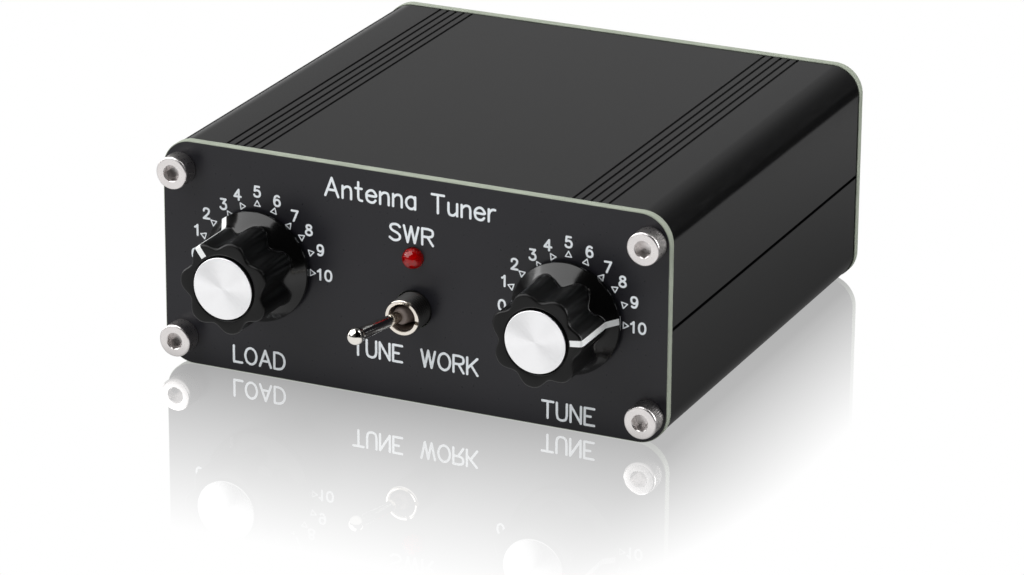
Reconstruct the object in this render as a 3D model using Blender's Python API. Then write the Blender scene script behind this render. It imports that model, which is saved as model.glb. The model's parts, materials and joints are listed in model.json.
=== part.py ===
"""Small antenna tuner: a split aluminium case with two printed panels, two knobs on
variable capacitors, a TUNE / WORK toggle switch, a signal lamp and rear connectors.

Frame: X to the right and Z up as seen from the front, Y from front to back.
The origin is under the middle of the case, on the surface it stands on.
Sizes are in millimetres and become metres when a mesh is made.
"""

import math

import bmesh
import bpy
from mathutils import Matrix, Vector

MM = 0.001
GAP = 0.3                     # clearance between pieces that touch

# Case
PANEL_W = 88.0
PANEL_H = 38.0
PANEL_T = 1.6
PANEL_R = 5.0
BODY_LENGTH = 80.0
MID_Z = PANEL_H / 2
FACE = BODY_LENGTH / 2 + PANEL_T      # outer face of either panel, from the middle
SHELL_INSET = 0.15
SHELL_R = 4.85
WALL = 1.6
SEAM_UPPER = 19.0
SEAM_LOWER = 18.7
TONGUE = 1.2
TONGUE_T = 0.6
GROOVE_CENTRES = (-30.45, 29.85)
GROOVE_COUNT = 5
GROOVE_PITCH = 1.5
GROOVE_W = 0.8
GROOVE_D = 0.4
RIB_DEPTH = 1.5
RIB_T = 1.0

# Case screws, M3: socket caps in front and low heads at the rear
SCREW_X = 40.8
SCREW_Z = 14.3
SCREW_R = 1.5
SCREW_LENGTH = 8.0
SCREW_HEAD_R = 2.75
SCREW_BEVEL = 0.3
FRONT_HEAD_TOP = 3.3
FRONT_HEX = 2.5
FRONT_HEX_DEPTH = 2.0
REAR_HEAD_TOP = 0.95
REAR_HEX = 2.0
REAR_HEX_DEPTH = 1.3
BOSS_R = 3.1
BOSS_HOLE_R = 1.8
BOSS_SLOT = 1.4

# Controls on the front: position, and the pointer's angle from +X
LOAD_X = -27.0
TUNE_X = 27.0
LOAD_POINTER = 126.0
TUNE_POINTER = 6.5
SHAFT_R = 3.0
SHAFT_HOLE_R = 3.8
KNOB_LOBES = 7
KNOB_LOBE_R = 7.8
KNOB_VALLEY_R = 6.6
KNOB_SKIRT_R = 9.25
KNOB_FOOT = 0.5
KNOB_SKIRT_TOP = 1.4
KNOB_WALL_FOOT = 3.0
KNOB_TOP = 12.1
KNOB_EDGE = 0.4
KNOB_CEILING = 10.4
CAP_R = 5.15
CAP_TOP = 12.45
CAP_RECESS = 0.8
CAP_EDGE = 0.15
INSERT_R = 4.9
INSERT_FOOT = 1.2
INSERT_TOP = 10.1
GRUB_R = 1.4
GRUB_H = 6.0

# Variable capacitor
VARICAP_W = 20.0
VARICAP_DEPTH = 11.5
VARICAP_WALL = 1.2
VARICAP_CAVITY_R = 9.0
ROTOR_R = 7.2
HUB_R = 2.2
PLATE_T = 0.5
PLATE_PITCH = 2.0
VARICAP_SCREW_R = 1.25
VARICAP_SCREW_HEAD_R = 2.3
VARICAP_SCREW_SLOT = 0.5
VARICAP_SCREW_RADIUS = 6.7
VARICAP_SCREW_ANGLES = (60.0, 240.0)

# Signal lamp and switch
LAMP = (0.4, 24.5)
LAMP_R = 1.5
LAMP_TOP = 2.0
LAMP_FOOT = -4.2
LAMP_FLANGE_R = 1.9
LEAD_T = 0.5
LEAD_SPREAD = 1.27
SWITCH = (0.4, 15.8)
BUSHING_R = 3.0
BUSHING_TOP = 4.3
BUSHING_FOOT = -5.2
PIVOT_H = 0.7
LEVER_LEAN = 12.5
LEVER_LENGTH = 14.03
LEVER_R = 0.95
LEVER_BALL_R = 1.4
PIVOT_BALL_R = 1.6
SWITCH_BODY = (13.2, 11.4, 9.4)
SWITCH_NUT_AF = 8.0
PIN_PLACES = ((-4.7, 0.0, 4.7), (-2.4, 2.4))
PIN_LENGTH = 3.8

# Main board
BOARD_W = 83.8
BOARD_FRONT = -22.0
BOARD_BACK = 39.0
BOARD_BOTTOM = 9.6
BOARD_T = 1.6
BOARD_TOP = BOARD_BOTTOM + BOARD_T

# Tuned transformer
CORE_CENTRE = (-14.0, 4.0)
CORE_R_IN = 9.9
CORE_R_OUT = 16.5
CORE_HEIGHT = 11.0
CORE_BOTTOM = BOARD_TOP + 1.8
WIRE_R = 0.5

# Rear connectors, as seen from the front
SOCKET_X = (-29.0, 29.0)
SOCKET_THREAD_R = 6.0
SOCKET_R = 4.85
SOCKET_BORE_R = 4.05
SOCKET_BORE_FLOOR = 5.5
SOCKET_TOP = 14.0
SOCKET_TAIL = -9.0
SOCKET_FLANGE_R = 7.1
SOCKET_NUT_AF = 14.0
SOCKET_NUT_T = 2.4
LUG_R = 1.0
LUG_H = 9.3
CONTACT_R = 1.1
POST_X = (-9.5, 9.5)
POST_R = 5.0
POST_TOP = 15.8
POST_STUD_R = 2.0
POST_STUD_TOP = 12.0
POST_STUD_TAIL = -10.0
POST_HOLE_R = 0.8
POST_COLLAR_R = 5.2
POST_COLLAR_TOP = 4.0
POST_FLUTES = 12

# A piece turned this way has its own +Z pointing out of the front or rear panel
FRONT_TURN = (math.pi / 2, 0.0, 0.0)
REAR_TURN = (math.pi / 2, 0.0, math.pi)


def clear_scene():
    for obj in list(bpy.data.objects):
        bpy.data.objects.remove(obj, do_unlink=True)


def material(name, colour, roughness, metallic=0.0):
    mat = bpy.data.materials.get(name) or bpy.data.materials.new(name)
    mat.use_nodes = True
    shader = mat.node_tree.nodes["Principled BSDF"]
    shader.inputs["Base Color"].default_value = (*colour, 1.0)
    shader.inputs["Roughness"].default_value = roughness
    shader.inputs["Metallic"].default_value = metallic
    return mat


# ---------------------------------------------------------------- outlines

def arc(cx, cy, radius, start, end, steps):
    """Points on an arc, from the angle start to the angle end, in degrees."""
    points = []
    for i in range(steps + 1):
        a = math.radians(start + (end - start) * i / steps)
        points.append((cx + radius * math.cos(a), cy + radius * math.sin(a)))
    return points


def circle(cx, cy, radius, steps):
    return arc(cx, cy, radius, 0.0, 360.0, steps)[:-1]


def polygon(radius, corners, turn=0.0):
    return [(radius * math.cos(math.radians(turn) + 2 * math.pi * i / corners),
             radius * math.sin(math.radians(turn) + 2 * math.pi * i / corners))
            for i in range(corners)]


def rounded_rectangle(cx, cy, width, height, radius, steps=5):
    x = width / 2 - radius
    y = height / 2 - radius
    points = []
    for sx, sy, start in ((1, 1, 0), (-1, 1, 90), (-1, -1, 180), (1, -1, 270)):
        points += arc(cx + sx * x, cy + sy * y, radius, start, start + 90, steps)
    return points


def sector(inner, outer, centre, spread, steps):
    """A ring's sector, or a disc's sector where inner is 0."""
    start = centre - spread / 2
    end = centre + spread / 2
    outside = arc(0, 0, outer, start, end, steps)
    inside = [(0.0, 0.0)] if inner == 0 else arc(0, 0, inner, end, start, steps)
    return outside + inside


# ---------------------------------------------------------------- meshes

def prism(outline, low, high):
    """The outline in the XY plane, raised from low to high along Z."""
    bm = bmesh.new()
    verts = [bm.verts.new((x, y, low)) for x, y in outline]
    face = bm.faces.new(verts)
    raised = bmesh.ops.extrude_face_region(bm, geom=[face])["geom"]
    tops = [v for v in raised if isinstance(v, bmesh.types.BMVert)]
    bmesh.ops.translate(bm, verts=tops, vec=(0, 0, high - low))
    return bm


def lathe(profile, segments=18):
    """A profile of (radius, height) points turned about Z.

    A profile that starts and ends on the axis gives a solid body; one that ends
    where it starts gives a ring.
    """
    ring_shaped = profile[0] == profile[-1]
    points = profile[:-1] if ring_shaped else profile
    bm = bmesh.new()
    rings = []
    for radius, height in points:
        if radius < 1e-6:
            rings.append([bm.verts.new((0, 0, height))] * segments)
            continue
        rings.append([bm.verts.new((radius * math.cos(2 * math.pi * i / segments),
                                    radius * math.sin(2 * math.pi * i / segments),
                                    height)) for i in range(segments)])
    pairs = list(zip(rings, rings[1:]))
    if ring_shaped:
        pairs.append((rings[-1], rings[0]))
    for low, high in pairs:
        for i in range(segments):
            j = (i + 1) % segments
            corners = []
            for vert in (low[i], low[j], high[j], high[i]):
                if vert not in corners:
                    corners.append(vert)
            if len(corners) > 2:
                bm.faces.new(corners)
    return bm


def merged(*parts):
    """Several meshes as one, for a cutter or for pieces that a union then joins."""
    whole = bmesh.new()
    for part in parts:
        scratch = bpy.data.meshes.new("scratch")
        bmesh.ops.recalc_face_normals(part, faces=part.faces)
        part.to_mesh(scratch)
        part.free()
        whole.from_mesh(scratch)
        bpy.data.meshes.remove(scratch)
    return whole


def moved(bm, x=0.0, y=0.0, z=0.0, turn=None):
    if turn is not None:
        bmesh.ops.transform(bm, matrix=turn, verts=bm.verts)
    bmesh.ops.translate(bm, verts=bm.verts, vec=(x, y, z))
    return bm


def make(name, bm, mat, at=(0, 0, 0), turn=(0, 0, 0), parent=None):
    """An object from a mesh in millimetres, at a place in millimetres."""
    bmesh.ops.recalc_face_normals(bm, faces=bm.faces)
    bmesh.ops.scale(bm, vec=(MM, MM, MM), verts=bm.verts)
    mesh = bpy.data.meshes.new(name)
    bm.to_mesh(mesh)
    bm.free()
    mesh.shade_smooth()
    mesh.set_sharp_from_angle(angle=math.radians(30))
    if mat is not None:
        mesh.materials.append(mat)
    obj = bpy.data.objects.new(name, mesh)
    obj.location = Vector(at) * MM
    obj.rotation_euler = turn
    obj.parent = parent
    bpy.context.scene.collection.objects.link(obj)
    return obj


def on_front(name, bm, mat, x, z):
    return make(name, bm, mat, (x, -FACE, z), FRONT_TURN)


def on_rear(name, bm, mat, x, z):
    return make(name, bm, mat, (x, FACE, z), REAR_TURN)


def shape_with(target, tool, operation):
    """Cut a tool out of a piece, or join it on; the tool itself stays hidden."""
    tool.hide_render = True
    tool.display_type = "WIRE"
    modifier = target.modifiers.new(operation.title(), "BOOLEAN")
    modifier.operation = operation
    modifier.solver = "EXACT"
    modifier.object = tool


def tool_like(target, bm, operation="DIFFERENCE"):
    """A tool in the target's own frame, used on the target."""
    tool = make(target.name + "_" + operation.lower(), bm, None)
    tool.location = target.location
    tool.rotation_euler = target.rotation_euler
    shape_with(target, tool, operation)
    return tool


def holes(places, low, high, steps=14):
    """A cutter of round holes, each given as (x, y, radius)."""
    return merged(*[prism(circle(x, y, r, steps), low, high) for x, y, r in places])


def wire(name, points, radius, mat, radii=None, sides=0):
    """A round wire along points, whose radius can change from point to point."""
    curve = bpy.data.curves.new(name, "CURVE")
    curve.dimensions = "3D"
    curve.bevel_depth = radius * MM
    curve.bevel_resolution = sides
    curve.use_fill_caps = True
    spline = curve.splines.new("POLY")
    spline.points.add(len(points) - 1)
    for i, place in enumerate(points):
        spline.points[i].co = (*(Vector(place) * MM), 1.0)
        spline.points[i].radius = 1.0 if radii is None else radii[i] / radius
    curve.materials.append(mat)
    obj = bpy.data.objects.new(name, curve)
    bpy.context.scene.collection.objects.link(obj)
    return obj


# ---------------------------------------------------------------- case

def screw_channel():
    """The open screw channel in the upper left corner, inner wall to inner top."""
    cx = -SCREW_X
    cz = MID_Z + SCREW_Z
    wall_x = -(PANEL_W / 2 - SHELL_INSET - WALL)
    top_z = PANEL_H - SHELL_INSET - WALL
    start = -math.degrees(math.acos((wall_x - cx) / BOSS_R))
    end = math.degrees(math.asin((top_z - cz) / BOSS_R))
    mouth = math.degrees(math.asin(BOSS_SLOT / 2 / BOSS_R))
    throat = math.degrees(math.asin(BOSS_SLOT / 2 / BOSS_HOLE_R))
    points = arc(cx, cz, BOSS_R, start, -45 - mouth, 4)
    points += arc(cx, cz, BOSS_HOLE_R, -45 - throat, -405 + throat, 14)
    points += arc(cx, cz, BOSS_R, -45 + mouth, end, 6)
    return points


def shell_outline(seam):
    """Section of the upper half of the case, as seen from the front."""
    out_x = PANEL_W / 2 - SHELL_INSET
    out_z = PANEL_H - SHELL_INSET
    in_x = out_x - WALL
    points = [(out_x, seam)]
    points += arc(out_x - SHELL_R, out_z - SHELL_R, SHELL_R, 0, 90, 7)
    for centre in reversed(GROOVE_CENTRES):
        for i in range(GROOVE_COUNT):
            x = centre + GROOVE_PITCH * ((GROOVE_COUNT - 1) / 2 - i)
            points += [(x + GROOVE_W / 2, out_z), (x + GROOVE_W / 4, out_z - GROOVE_D),
                       (x - GROOVE_W / 4, out_z - GROOVE_D), (x - GROOVE_W / 2, out_z)]
    points += arc(-out_x + SHELL_R, out_z - SHELL_R, SHELL_R, 90, 180, 7)
    points += [(-out_x, seam), (-in_x - TONGUE_T, seam),
               (-in_x - TONGUE_T, seam - TONGUE), (-in_x, seam - TONGUE)]
    ribs = []
    for edge in (BOARD_TOP + GAP + RIB_T, BOARD_BOTTOM - GAP):
        low = PANEL_H - edge
        ribs += [(-in_x, low), (-in_x + RIB_DEPTH, low),
                 (-in_x + RIB_DEPTH, low + RIB_T), (-in_x, low + RIB_T)]
    side = ribs + screw_channel()
    points += side
    points += [(-x, z) for x, z in reversed(side)]
    recess_z = seam + TONGUE + GAP
    recess_x = in_x + TONGUE_T + GAP
    points += [(in_x, recess_z), (recess_x, recess_z), (recess_x, seam)]
    return points


def make_shells():
    black = material("black_anodised", (0.012, 0.012, 0.013), 0.35, 0.6)
    reach = BODY_LENGTH / 2 - GAP / 2
    upper = shell_outline(SEAM_UPPER)
    make("upper_shell", prism(upper, -reach, reach), black, turn=FRONT_TURN)
    lower = [(-x, PANEL_H - z) for x, z in shell_outline(PANEL_H - SEAM_LOWER)]
    make("lower_shell", prism(lower, -reach, reach), black, turn=FRONT_TURN)


def corner_screw_places():
    return [(sx * SCREW_X, MID_Z + sz * SCREW_Z) for sz in (1, -1) for sx in (-1, 1)]


def varicap_screw_places(x):
    places = []
    for angle in VARICAP_SCREW_ANGLES:
        a = math.radians(angle)
        places.append((x + VARICAP_SCREW_RADIUS * math.cos(a),
                       MID_Z + VARICAP_SCREW_RADIUS * math.sin(a)))
    return places


def countersink(x, z):
    """Hole for a countersunk screw, with its wide end on the front face."""
    grow = VARICAP_SCREW_R + GAP
    wide = VARICAP_SCREW_HEAD_R + GAP
    cone = lathe([(0, -PANEL_T - 1), (grow, -PANEL_T - 1), (grow, -1.2),
                  (wide, 0.0), (wide, 1.0), (0, 1.0)], 12)
    return moved(cone, x, z)


def make_panels():
    mask = material("black_solder_mask", (0.012, 0.012, 0.014), 0.3)
    outline = rounded_rectangle(0, MID_Z, PANEL_W, PANEL_H, PANEL_R)
    screws = [(x, z, SCREW_R + GAP) for x, z in corner_screw_places()]

    front = on_front("front_panel", prism(outline, -PANEL_T, 0), mask, 0, 0)
    round_holes = screws + [(LOAD_X, MID_Z, SHAFT_HOLE_R), (TUNE_X, MID_Z, SHAFT_HOLE_R),
                            (*LAMP, LAMP_R + GAP), (*SWITCH, BUSHING_R + GAP)]
    sinks = [countersink(x, z) for cx in (LOAD_X, TUNE_X)
             for x, z in varicap_screw_places(cx)]
    tool_like(front, merged(holes(round_holes, -PANEL_T - 1, 1), *sinks))

    rear = on_rear("rear_panel", prism(outline, -PANEL_T, 0), mask, 0, 0)
    round_holes = screws + [(-x, MID_Z, SOCKET_THREAD_R + GAP) for x in SOCKET_X]
    round_holes += [(-x, MID_Z, SHAFT_R + GAP) for x in POST_X]
    tool_like(rear, holes(round_holes, -PANEL_T - 1, 1))


def make_case_screw(name, place, x, z, top, hexagon, depth):
    """A screw with a round head up to a height, and a hexagon socket of some depth."""
    steel = material("stainless_steel", (0.62, 0.61, 0.59), 0.25, 1.0)
    profile = [(0, -SCREW_LENGTH), (SCREW_R - SCREW_BEVEL, -SCREW_LENGTH),
               (SCREW_R, -SCREW_LENGTH + SCREW_BEVEL), (SCREW_R, GAP / 2),
               (SCREW_HEAD_R, GAP / 2), (SCREW_HEAD_R, top - SCREW_BEVEL),
               (SCREW_HEAD_R - SCREW_BEVEL, top), (0, top)]
    screw = place(name, lathe(profile, 14), steel, x, z)
    tool_like(screw, prism(polygon(hexagon / math.sqrt(3), 6), top - depth, top + 1))


def make_case_screws():
    for i, (x, z) in enumerate(corner_screw_places(), 1):
        make_case_screw(f"front_screw_{i}", on_front, x, z,
                        FRONT_HEAD_TOP, FRONT_HEX, FRONT_HEX_DEPTH)
        make_case_screw(f"rear_screw_{i}", on_rear, x, z,
                        REAR_HEAD_TOP, REAR_HEX, REAR_HEX_DEPTH)


# ---------------------------------------------------------------- knobs

def knob_outline(radius, valley, pointer, steps=56):
    """A lobed outline: radius on the lobes, one of them at the pointer's angle."""
    points = []
    for i in range(steps):
        a = 2 * math.pi * i / steps
        swing = math.cos(KNOB_LOBES * (a - math.radians(pointer)))
        r = (radius + valley) / 2 + (radius - valley) / 2 * swing
        points.append((r * math.cos(a), r * math.sin(a)))
    return points


def stacked(sections):
    """A body through outlines of equal point count, each given with its height."""
    bm = bmesh.new()
    loops = [[bm.verts.new((x, y, h)) for x, y in outline] for outline, h in sections]
    count = len(loops[0])
    for low, high in zip(loops, loops[1:]):
        for i in range(count):
            j = (i + 1) % count
            bm.faces.new((low[i], low[j], high[j], high[i]))
    bm.faces.new(loops[0])
    bm.faces.new(loops[-1])
    return bm


def radial_cylinder(radius, near, far, angle, height):
    """A cylinder lying along a radius, from near to far, at a height."""
    turn = Matrix.Rotation(math.radians(angle), 4, "Z") @ Matrix.Rotation(math.pi / 2, 4, "Y")
    return moved(moved(prism(circle(0, 0, radius, 12), near, far), turn=turn), z=height)


def make_knob(name, x, pointer):
    """A fluted knob with a skirt, its cap, its brass insert and its grub screw."""
    black = material("knob_plastic", (0.01, 0.01, 0.01), 0.15)
    spun = material("cap_aluminium", (0.8, 0.8, 0.82), 0.3, 1.0)
    brass = material("brass", (0.7, 0.5, 0.2), 0.3, 1.0)
    steel = material("stainless_steel", (0.62, 0.61, 0.59), 0.25, 1.0)
    grub_angle = pointer + 180

    flat = KNOB_SKIRT_R
    sections = [(knob_outline(flat, flat, pointer), KNOB_FOOT),
                (knob_outline(flat, flat, pointer), KNOB_SKIRT_TOP),
                (knob_outline(KNOB_LOBE_R, KNOB_LOBE_R, pointer), KNOB_WALL_FOOT),
                (knob_outline(KNOB_LOBE_R, KNOB_VALLEY_R, pointer), KNOB_WALL_FOOT + GAP),
                (knob_outline(KNOB_LOBE_R, KNOB_VALLEY_R, pointer), KNOB_TOP - KNOB_EDGE),
                (knob_outline(KNOB_LOBE_R - KNOB_EDGE, KNOB_VALLEY_R - KNOB_EDGE, pointer),
                 KNOB_TOP)]
    knob = on_front(f"{name}_knob", stacked(sections), black, x, MID_Z)
    bore = lathe([(0, -1), (KNOB_LOBE_R - 1, -1), (KNOB_LOBE_R - 1, 2.2),
                  (INSERT_R + GAP, 2.2), (INSERT_R + GAP, KNOB_CEILING), (0, KNOB_CEILING)])
    recess = prism(circle(0, 0, CAP_R + 0.2, 28), KNOB_TOP - CAP_RECESS, KNOB_TOP + 1)
    grub_hole = radial_cylinder(GRUB_R + GAP, INSERT_R - 0.5, KNOB_SKIRT_R, grub_angle, GRUB_H)
    tool_like(knob, bore)
    tool_like(knob, recess)
    tool_like(knob, grub_hole)

    floor = KNOB_TOP - CAP_RECESS + GAP / 2
    cap = lathe([(0, floor), (CAP_R, floor), (CAP_R, CAP_TOP - CAP_EDGE),
                 (CAP_R - CAP_EDGE, CAP_TOP), (0, CAP_TOP)], 28)
    on_front(f"{name}_knob_cap", cap, spun, x, MID_Z)

    inner = SHAFT_R + GAP
    insert = lathe([(inner, INSERT_FOOT), (INSERT_R, INSERT_FOOT), (INSERT_R, INSERT_TOP),
                    (inner, INSERT_TOP), (inner, INSERT_FOOT)])
    insert = on_front(f"{name}_knob_insert", insert, brass, x, MID_Z)
    tool_like(insert, radial_cylinder(GRUB_R + GAP, 2, INSERT_R + 1, grub_angle, GRUB_H))

    grub = radial_cylinder(GRUB_R, SHAFT_R + GAP, KNOB_VALLEY_R - 0.3, grub_angle, GRUB_H)
    on_front(f"{name}_knob_grub_screw", grub, steel, x, MID_Z)


# ---------------------------------------------------------------- capacitors

def make_varicap(name, x, pointer):
    """A film variable capacitor: case, stator plates, rotor on its shaft, screws."""
    clear = material("capacitor_plastic", (0.75, 0.76, 0.72), 0.3)
    plates = material("capacitor_plates", (0.75, 0.75, 0.76), 0.35, 1.0)
    steel = material("stainless_steel", (0.62, 0.61, 0.59), 0.25, 1.0)
    front = -PANEL_T - GAP
    ceiling = front - VARICAP_WALL
    floor = front - VARICAP_DEPTH + VARICAP_WALL

    outline = rounded_rectangle(0, 0, VARICAP_W, VARICAP_W, 1.2, 3)
    case = on_front(f"{name}_capacitor_case", prism(outline, front - VARICAP_DEPTH, front),
                    clear, x, MID_Z)
    openings = [(sx - x, sz - MID_Z, VARICAP_SCREW_R + GAP)
                for sx, sz in varicap_screw_places(x)]
    openings.append((0, 0, SHAFT_R + GAP))
    tool_like(case, prism(circle(0, 0, VARICAP_CAVITY_R, 24), floor, ceiling))
    tool_like(case, holes(openings, ceiling - 0.5, front + 1))

    shaft = lathe([(0, floor + GAP), (HUB_R, floor + GAP), (HUB_R, ceiling - 0.2),
                   (SHAFT_R, ceiling - 0.2), (SHAFT_R, 9.5), (SHAFT_R - 0.3, 9.8),
                   (0, 9.8)], 14)
    rotor = on_front(f"{name}_capacitor_rotor", shaft, plates, x, MID_Z)
    levels = [ceiling - 1.0 - PLATE_PITCH * i for i in range(4)]
    fans = [prism(sector(0, ROTOR_R, pointer + 90, 180, 10), level - PLATE_T, level)
            for level in levels]
    tool_like(rotor, merged(*fans), "UNION")

    post_in = ROTOR_R + 0.5
    post_out = VARICAP_CAVITY_R - GAP
    post = prism(sector(post_in, post_out, 270, 30, 2), levels[3] + 0.3, levels[0] - 0.6)
    stator = on_front(f"{name}_capacitor_stator", post, plates, x, MID_Z)
    rings = [prism(sector(HUB_R + 0.6, post_out - 0.3, 270, 176, 8),
                   level - 1.0 - PLATE_T, level - 1.0) for level in levels[:3]]
    tool_like(stator, merged(*rings), "UNION")

    neck = -1.2
    for i, (sx, sz) in enumerate(varicap_screw_places(x)):
        screw = lathe([(0, ceiling + 0.1), (VARICAP_SCREW_R, ceiling + 0.1),
                       (VARICAP_SCREW_R, neck), (VARICAP_SCREW_HEAD_R, -0.15),
                       (0, -0.15)], 12)
        screw = on_front(f"{name}_capacitor_screw_{i + 1}", screw, steel, sx, sz)
        slot = rounded_rectangle(0, 0, 2 * VARICAP_SCREW_R, VARICAP_SCREW_SLOT, 0.2, 1)
        tool_like(screw, prism(slot, -0.8, 1))


# ---------------------------------------------------------------- lamp and switch

def make_lamp():
    red = material("lamp_red", (0.3, 0.005, 0.01), 0.1)
    tinned = material("tinned_wire", (0.7, 0.7, 0.68), 0.3, 1.0)
    flange_top = -PANEL_T - GAP - 0.1
    profile = [(0, LAMP_FOOT), (LAMP_FLANGE_R, LAMP_FOOT), (LAMP_FLANGE_R, flange_top),
               (LAMP_R, flange_top)]
    profile += [(r, h + LAMP_TOP - LAMP_R) for r, h in arc(0, 0, LAMP_R, 0, 90, 4)[:-1]]
    profile.append((0, LAMP_TOP))
    on_front("signal_lamp", lathe(profile, 16), red, *LAMP)

    front = -FACE - LAMP_FOOT + GAP
    back = BOARD_FRONT + 2
    x, z = LAMP
    for name, side in (("lamp_lead_1", -1), ("lamp_lead_2", 1)):
        path = [(front, z), (back, z), (back, BOARD_TOP + GAP),
                (back - LEAD_T, BOARD_TOP + GAP), (back - LEAD_T, z - LEAD_T),
                (front, z - LEAD_T)]
        lead = prism(path, -LEAD_T / 2, LEAD_T / 2)
        # The path's axes are Y and Z, and it is thickened along X
        turn = Matrix(((0, 0, 1), (1, 0, 0), (0, 1, 0))).to_4x4()
        make(name, moved(lead, x + side * LEAD_SPREAD, turn=turn), tinned)


def make_switch(lever_body):
    nickel = material("bright_nickel", (0.7, 0.68, 0.64), 0.15, 1.0)
    blue = material("switch_base", (0.02, 0.06, 0.3), 0.45)
    width, height, depth = SWITCH_BODY
    case_front = BUSHING_FOOT - GAP

    bushing = [(2.5, BUSHING_TOP), (BUSHING_R - 0.25, BUSHING_TOP),
               (BUSHING_R, BUSHING_TOP - 0.25), (BUSHING_R, BUSHING_FOOT),
               (2.45, BUSHING_FOOT), (2.45, -2.5), (1.95, -0.5), (2.05, BUSHING_TOP - 0.6),
               (2.5, BUSHING_TOP)]
    on_front("switch_bushing", lathe(bushing, 20), nickel, *SWITCH)

    nut = prism(polygon(SWITCH_NUT_AF / math.sqrt(3), 6), -4.3, -2.2)
    nut = on_front("switch_nut", nut, nickel, *SWITCH)
    tool_like(nut, prism(circle(0, 0, BUSHING_R + GAP, 18), -6, 0))

    block = prism(rounded_rectangle(0, 0, width, height, 0.6, 2),
                  case_front - depth, case_front)
    case = on_front("switch_case", block, blue, *SWITCH)
    tool_like(case, prism(rounded_rectangle(0, 0, 8.0, 5.0, 0.5, 2),
                          case_front - 6.5, case_front + 1))
    pins = [prism(rounded_rectangle(px, pz, 1.2, 0.8, 0.1, 1),
                  case_front - depth - PIN_LENGTH, case_front - depth + 0.5)
            for px in PIN_PLACES[0] for pz in PIN_PLACES[1]]
    tool_like(case, merged(*pins), "UNION")

    # The lever's own +Z runs from its pivot to its tip
    ball = arc(0, LEVER_LENGTH, LEVER_BALL_R, -40, 90, 6)[:-1]
    pivot_ball = arc(0, 0, PIVOT_BALL_R, -55, 55, 4)
    lever = [(0, -7.6), (0.6, -7.6), (0.8, -7.2), (0.8, -2.0)] + pivot_ball
    lever += [(LEVER_R, 2.2), (LEVER_R, 6.0), (LEVER_R + 0.1, LEVER_LENGTH - 1.5)] + ball
    lever.append((0, LEVER_LENGTH + LEVER_BALL_R))
    obj = make("switch_lever", lathe(lever, 12), nickel, parent=lever_body)
    obj.rotation_euler = FRONT_TURN


# ---------------------------------------------------------------- electronics

def winding(name, centre_angle, turns, pitch, mat):
    """Turns of wire around the transformer core, spread about an angle."""
    clear = WIRE_R + GAP
    low = CORE_BOTTOM - clear
    high = CORE_BOTTOM + CORE_HEIGHT + clear
    inner = CORE_R_IN - clear
    outer = CORE_R_OUT + clear
    bend = 0.9
    section = [(outer, low + bend), (outer, high - bend), (outer - bend, high),
               (inner + bend, high), (inner, high - bend), (inner, low + bend),
               (inner + bend, low), (outer - bend, low)]
    points = []
    start = centre_angle - turns * pitch / 2
    for i in range(turns * len(section) + 1):
        r, z = section[i % len(section)]
        a = math.radians(start + pitch * i / len(section))
        points.append((CORE_CENTRE[0] + r * math.cos(a),
                       CORE_CENTRE[1] + r * math.sin(a), z))
    return wire(name, points, WIRE_R, mat)


def axial_part(name, x, y, body_r, body_length, mat):
    """A small part lying along Y with both leads bent down to the board."""
    lead = 0.3
    z = BOARD_TOP + GAP + body_r + 0.3
    half = body_length / 2
    ends = half + 2.5
    path = [(-ends, BOARD_TOP + GAP), (-ends, z - 0.4), (-ends + 0.4, z), (-half - 0.05, z),
            (-half, z), (half, z), (half + 0.05, z), (ends - 0.4, z), (ends, z - 0.4),
            (ends, BOARD_TOP + GAP)]
    radii = [lead] * 4 + [body_r] * 2 + [lead] * 4
    wire(name, [(x, y + dy, dz) for dy, dz in path], body_r, mat, radii, sides=1)


def make_electronics():
    green = material("board_green", (0.01, 0.09, 0.03), 0.35)
    iron = material("core_red", (0.35, 0.03, 0.02), 0.55)
    ferrite = material("ferrite", (0.05, 0.05, 0.055), 0.5)
    copper = material("copper_wire", (0.6, 0.24, 0.1), 0.25, 1.0)
    resistor = material("resistor_body", (0.1, 0.3, 0.45), 0.45)
    glass = material("diode_glass", (0.6, 0.25, 0.1), 0.1)

    board = rounded_rectangle(0, (BOARD_FRONT + BOARD_BACK) / 2, BOARD_W,
                              BOARD_BACK - BOARD_FRONT, 1.0, 2)
    make("main_board", prism(board, BOARD_BOTTOM, BOARD_TOP), green)

    top = CORE_BOTTOM + CORE_HEIGHT
    core = lathe([(CORE_R_IN, CORE_BOTTOM), (CORE_R_OUT, CORE_BOTTOM), (CORE_R_OUT, top),
                  (CORE_R_IN, top), (CORE_R_IN, CORE_BOTTOM)], 24)
    make("transformer_core", core, iron, at=(*CORE_CENTRE, 0))
    winding("transformer_main_winding", 200, 14, 15.0, copper)
    winding("transformer_link_winding", 20, 5, 18.0, copper)

    low = BOARD_TOP + GAP
    ring = lathe([(2.6, low), (4.75, low), (4.75, low + 3.3), (2.6, low + 3.3), (2.6, low)], 14)
    make("bridge_core", ring, ferrite, at=(26, 12, 0))
    for i in range(3):
        axial_part(f"bridge_resistor_{i + 1}", 14 + 6 * i, -8, 1.5, 8.0, resistor)
    axial_part("bridge_diode", 32, -8, 0.9, 4.0, glass)


# ---------------------------------------------------------------- rear connectors

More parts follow.
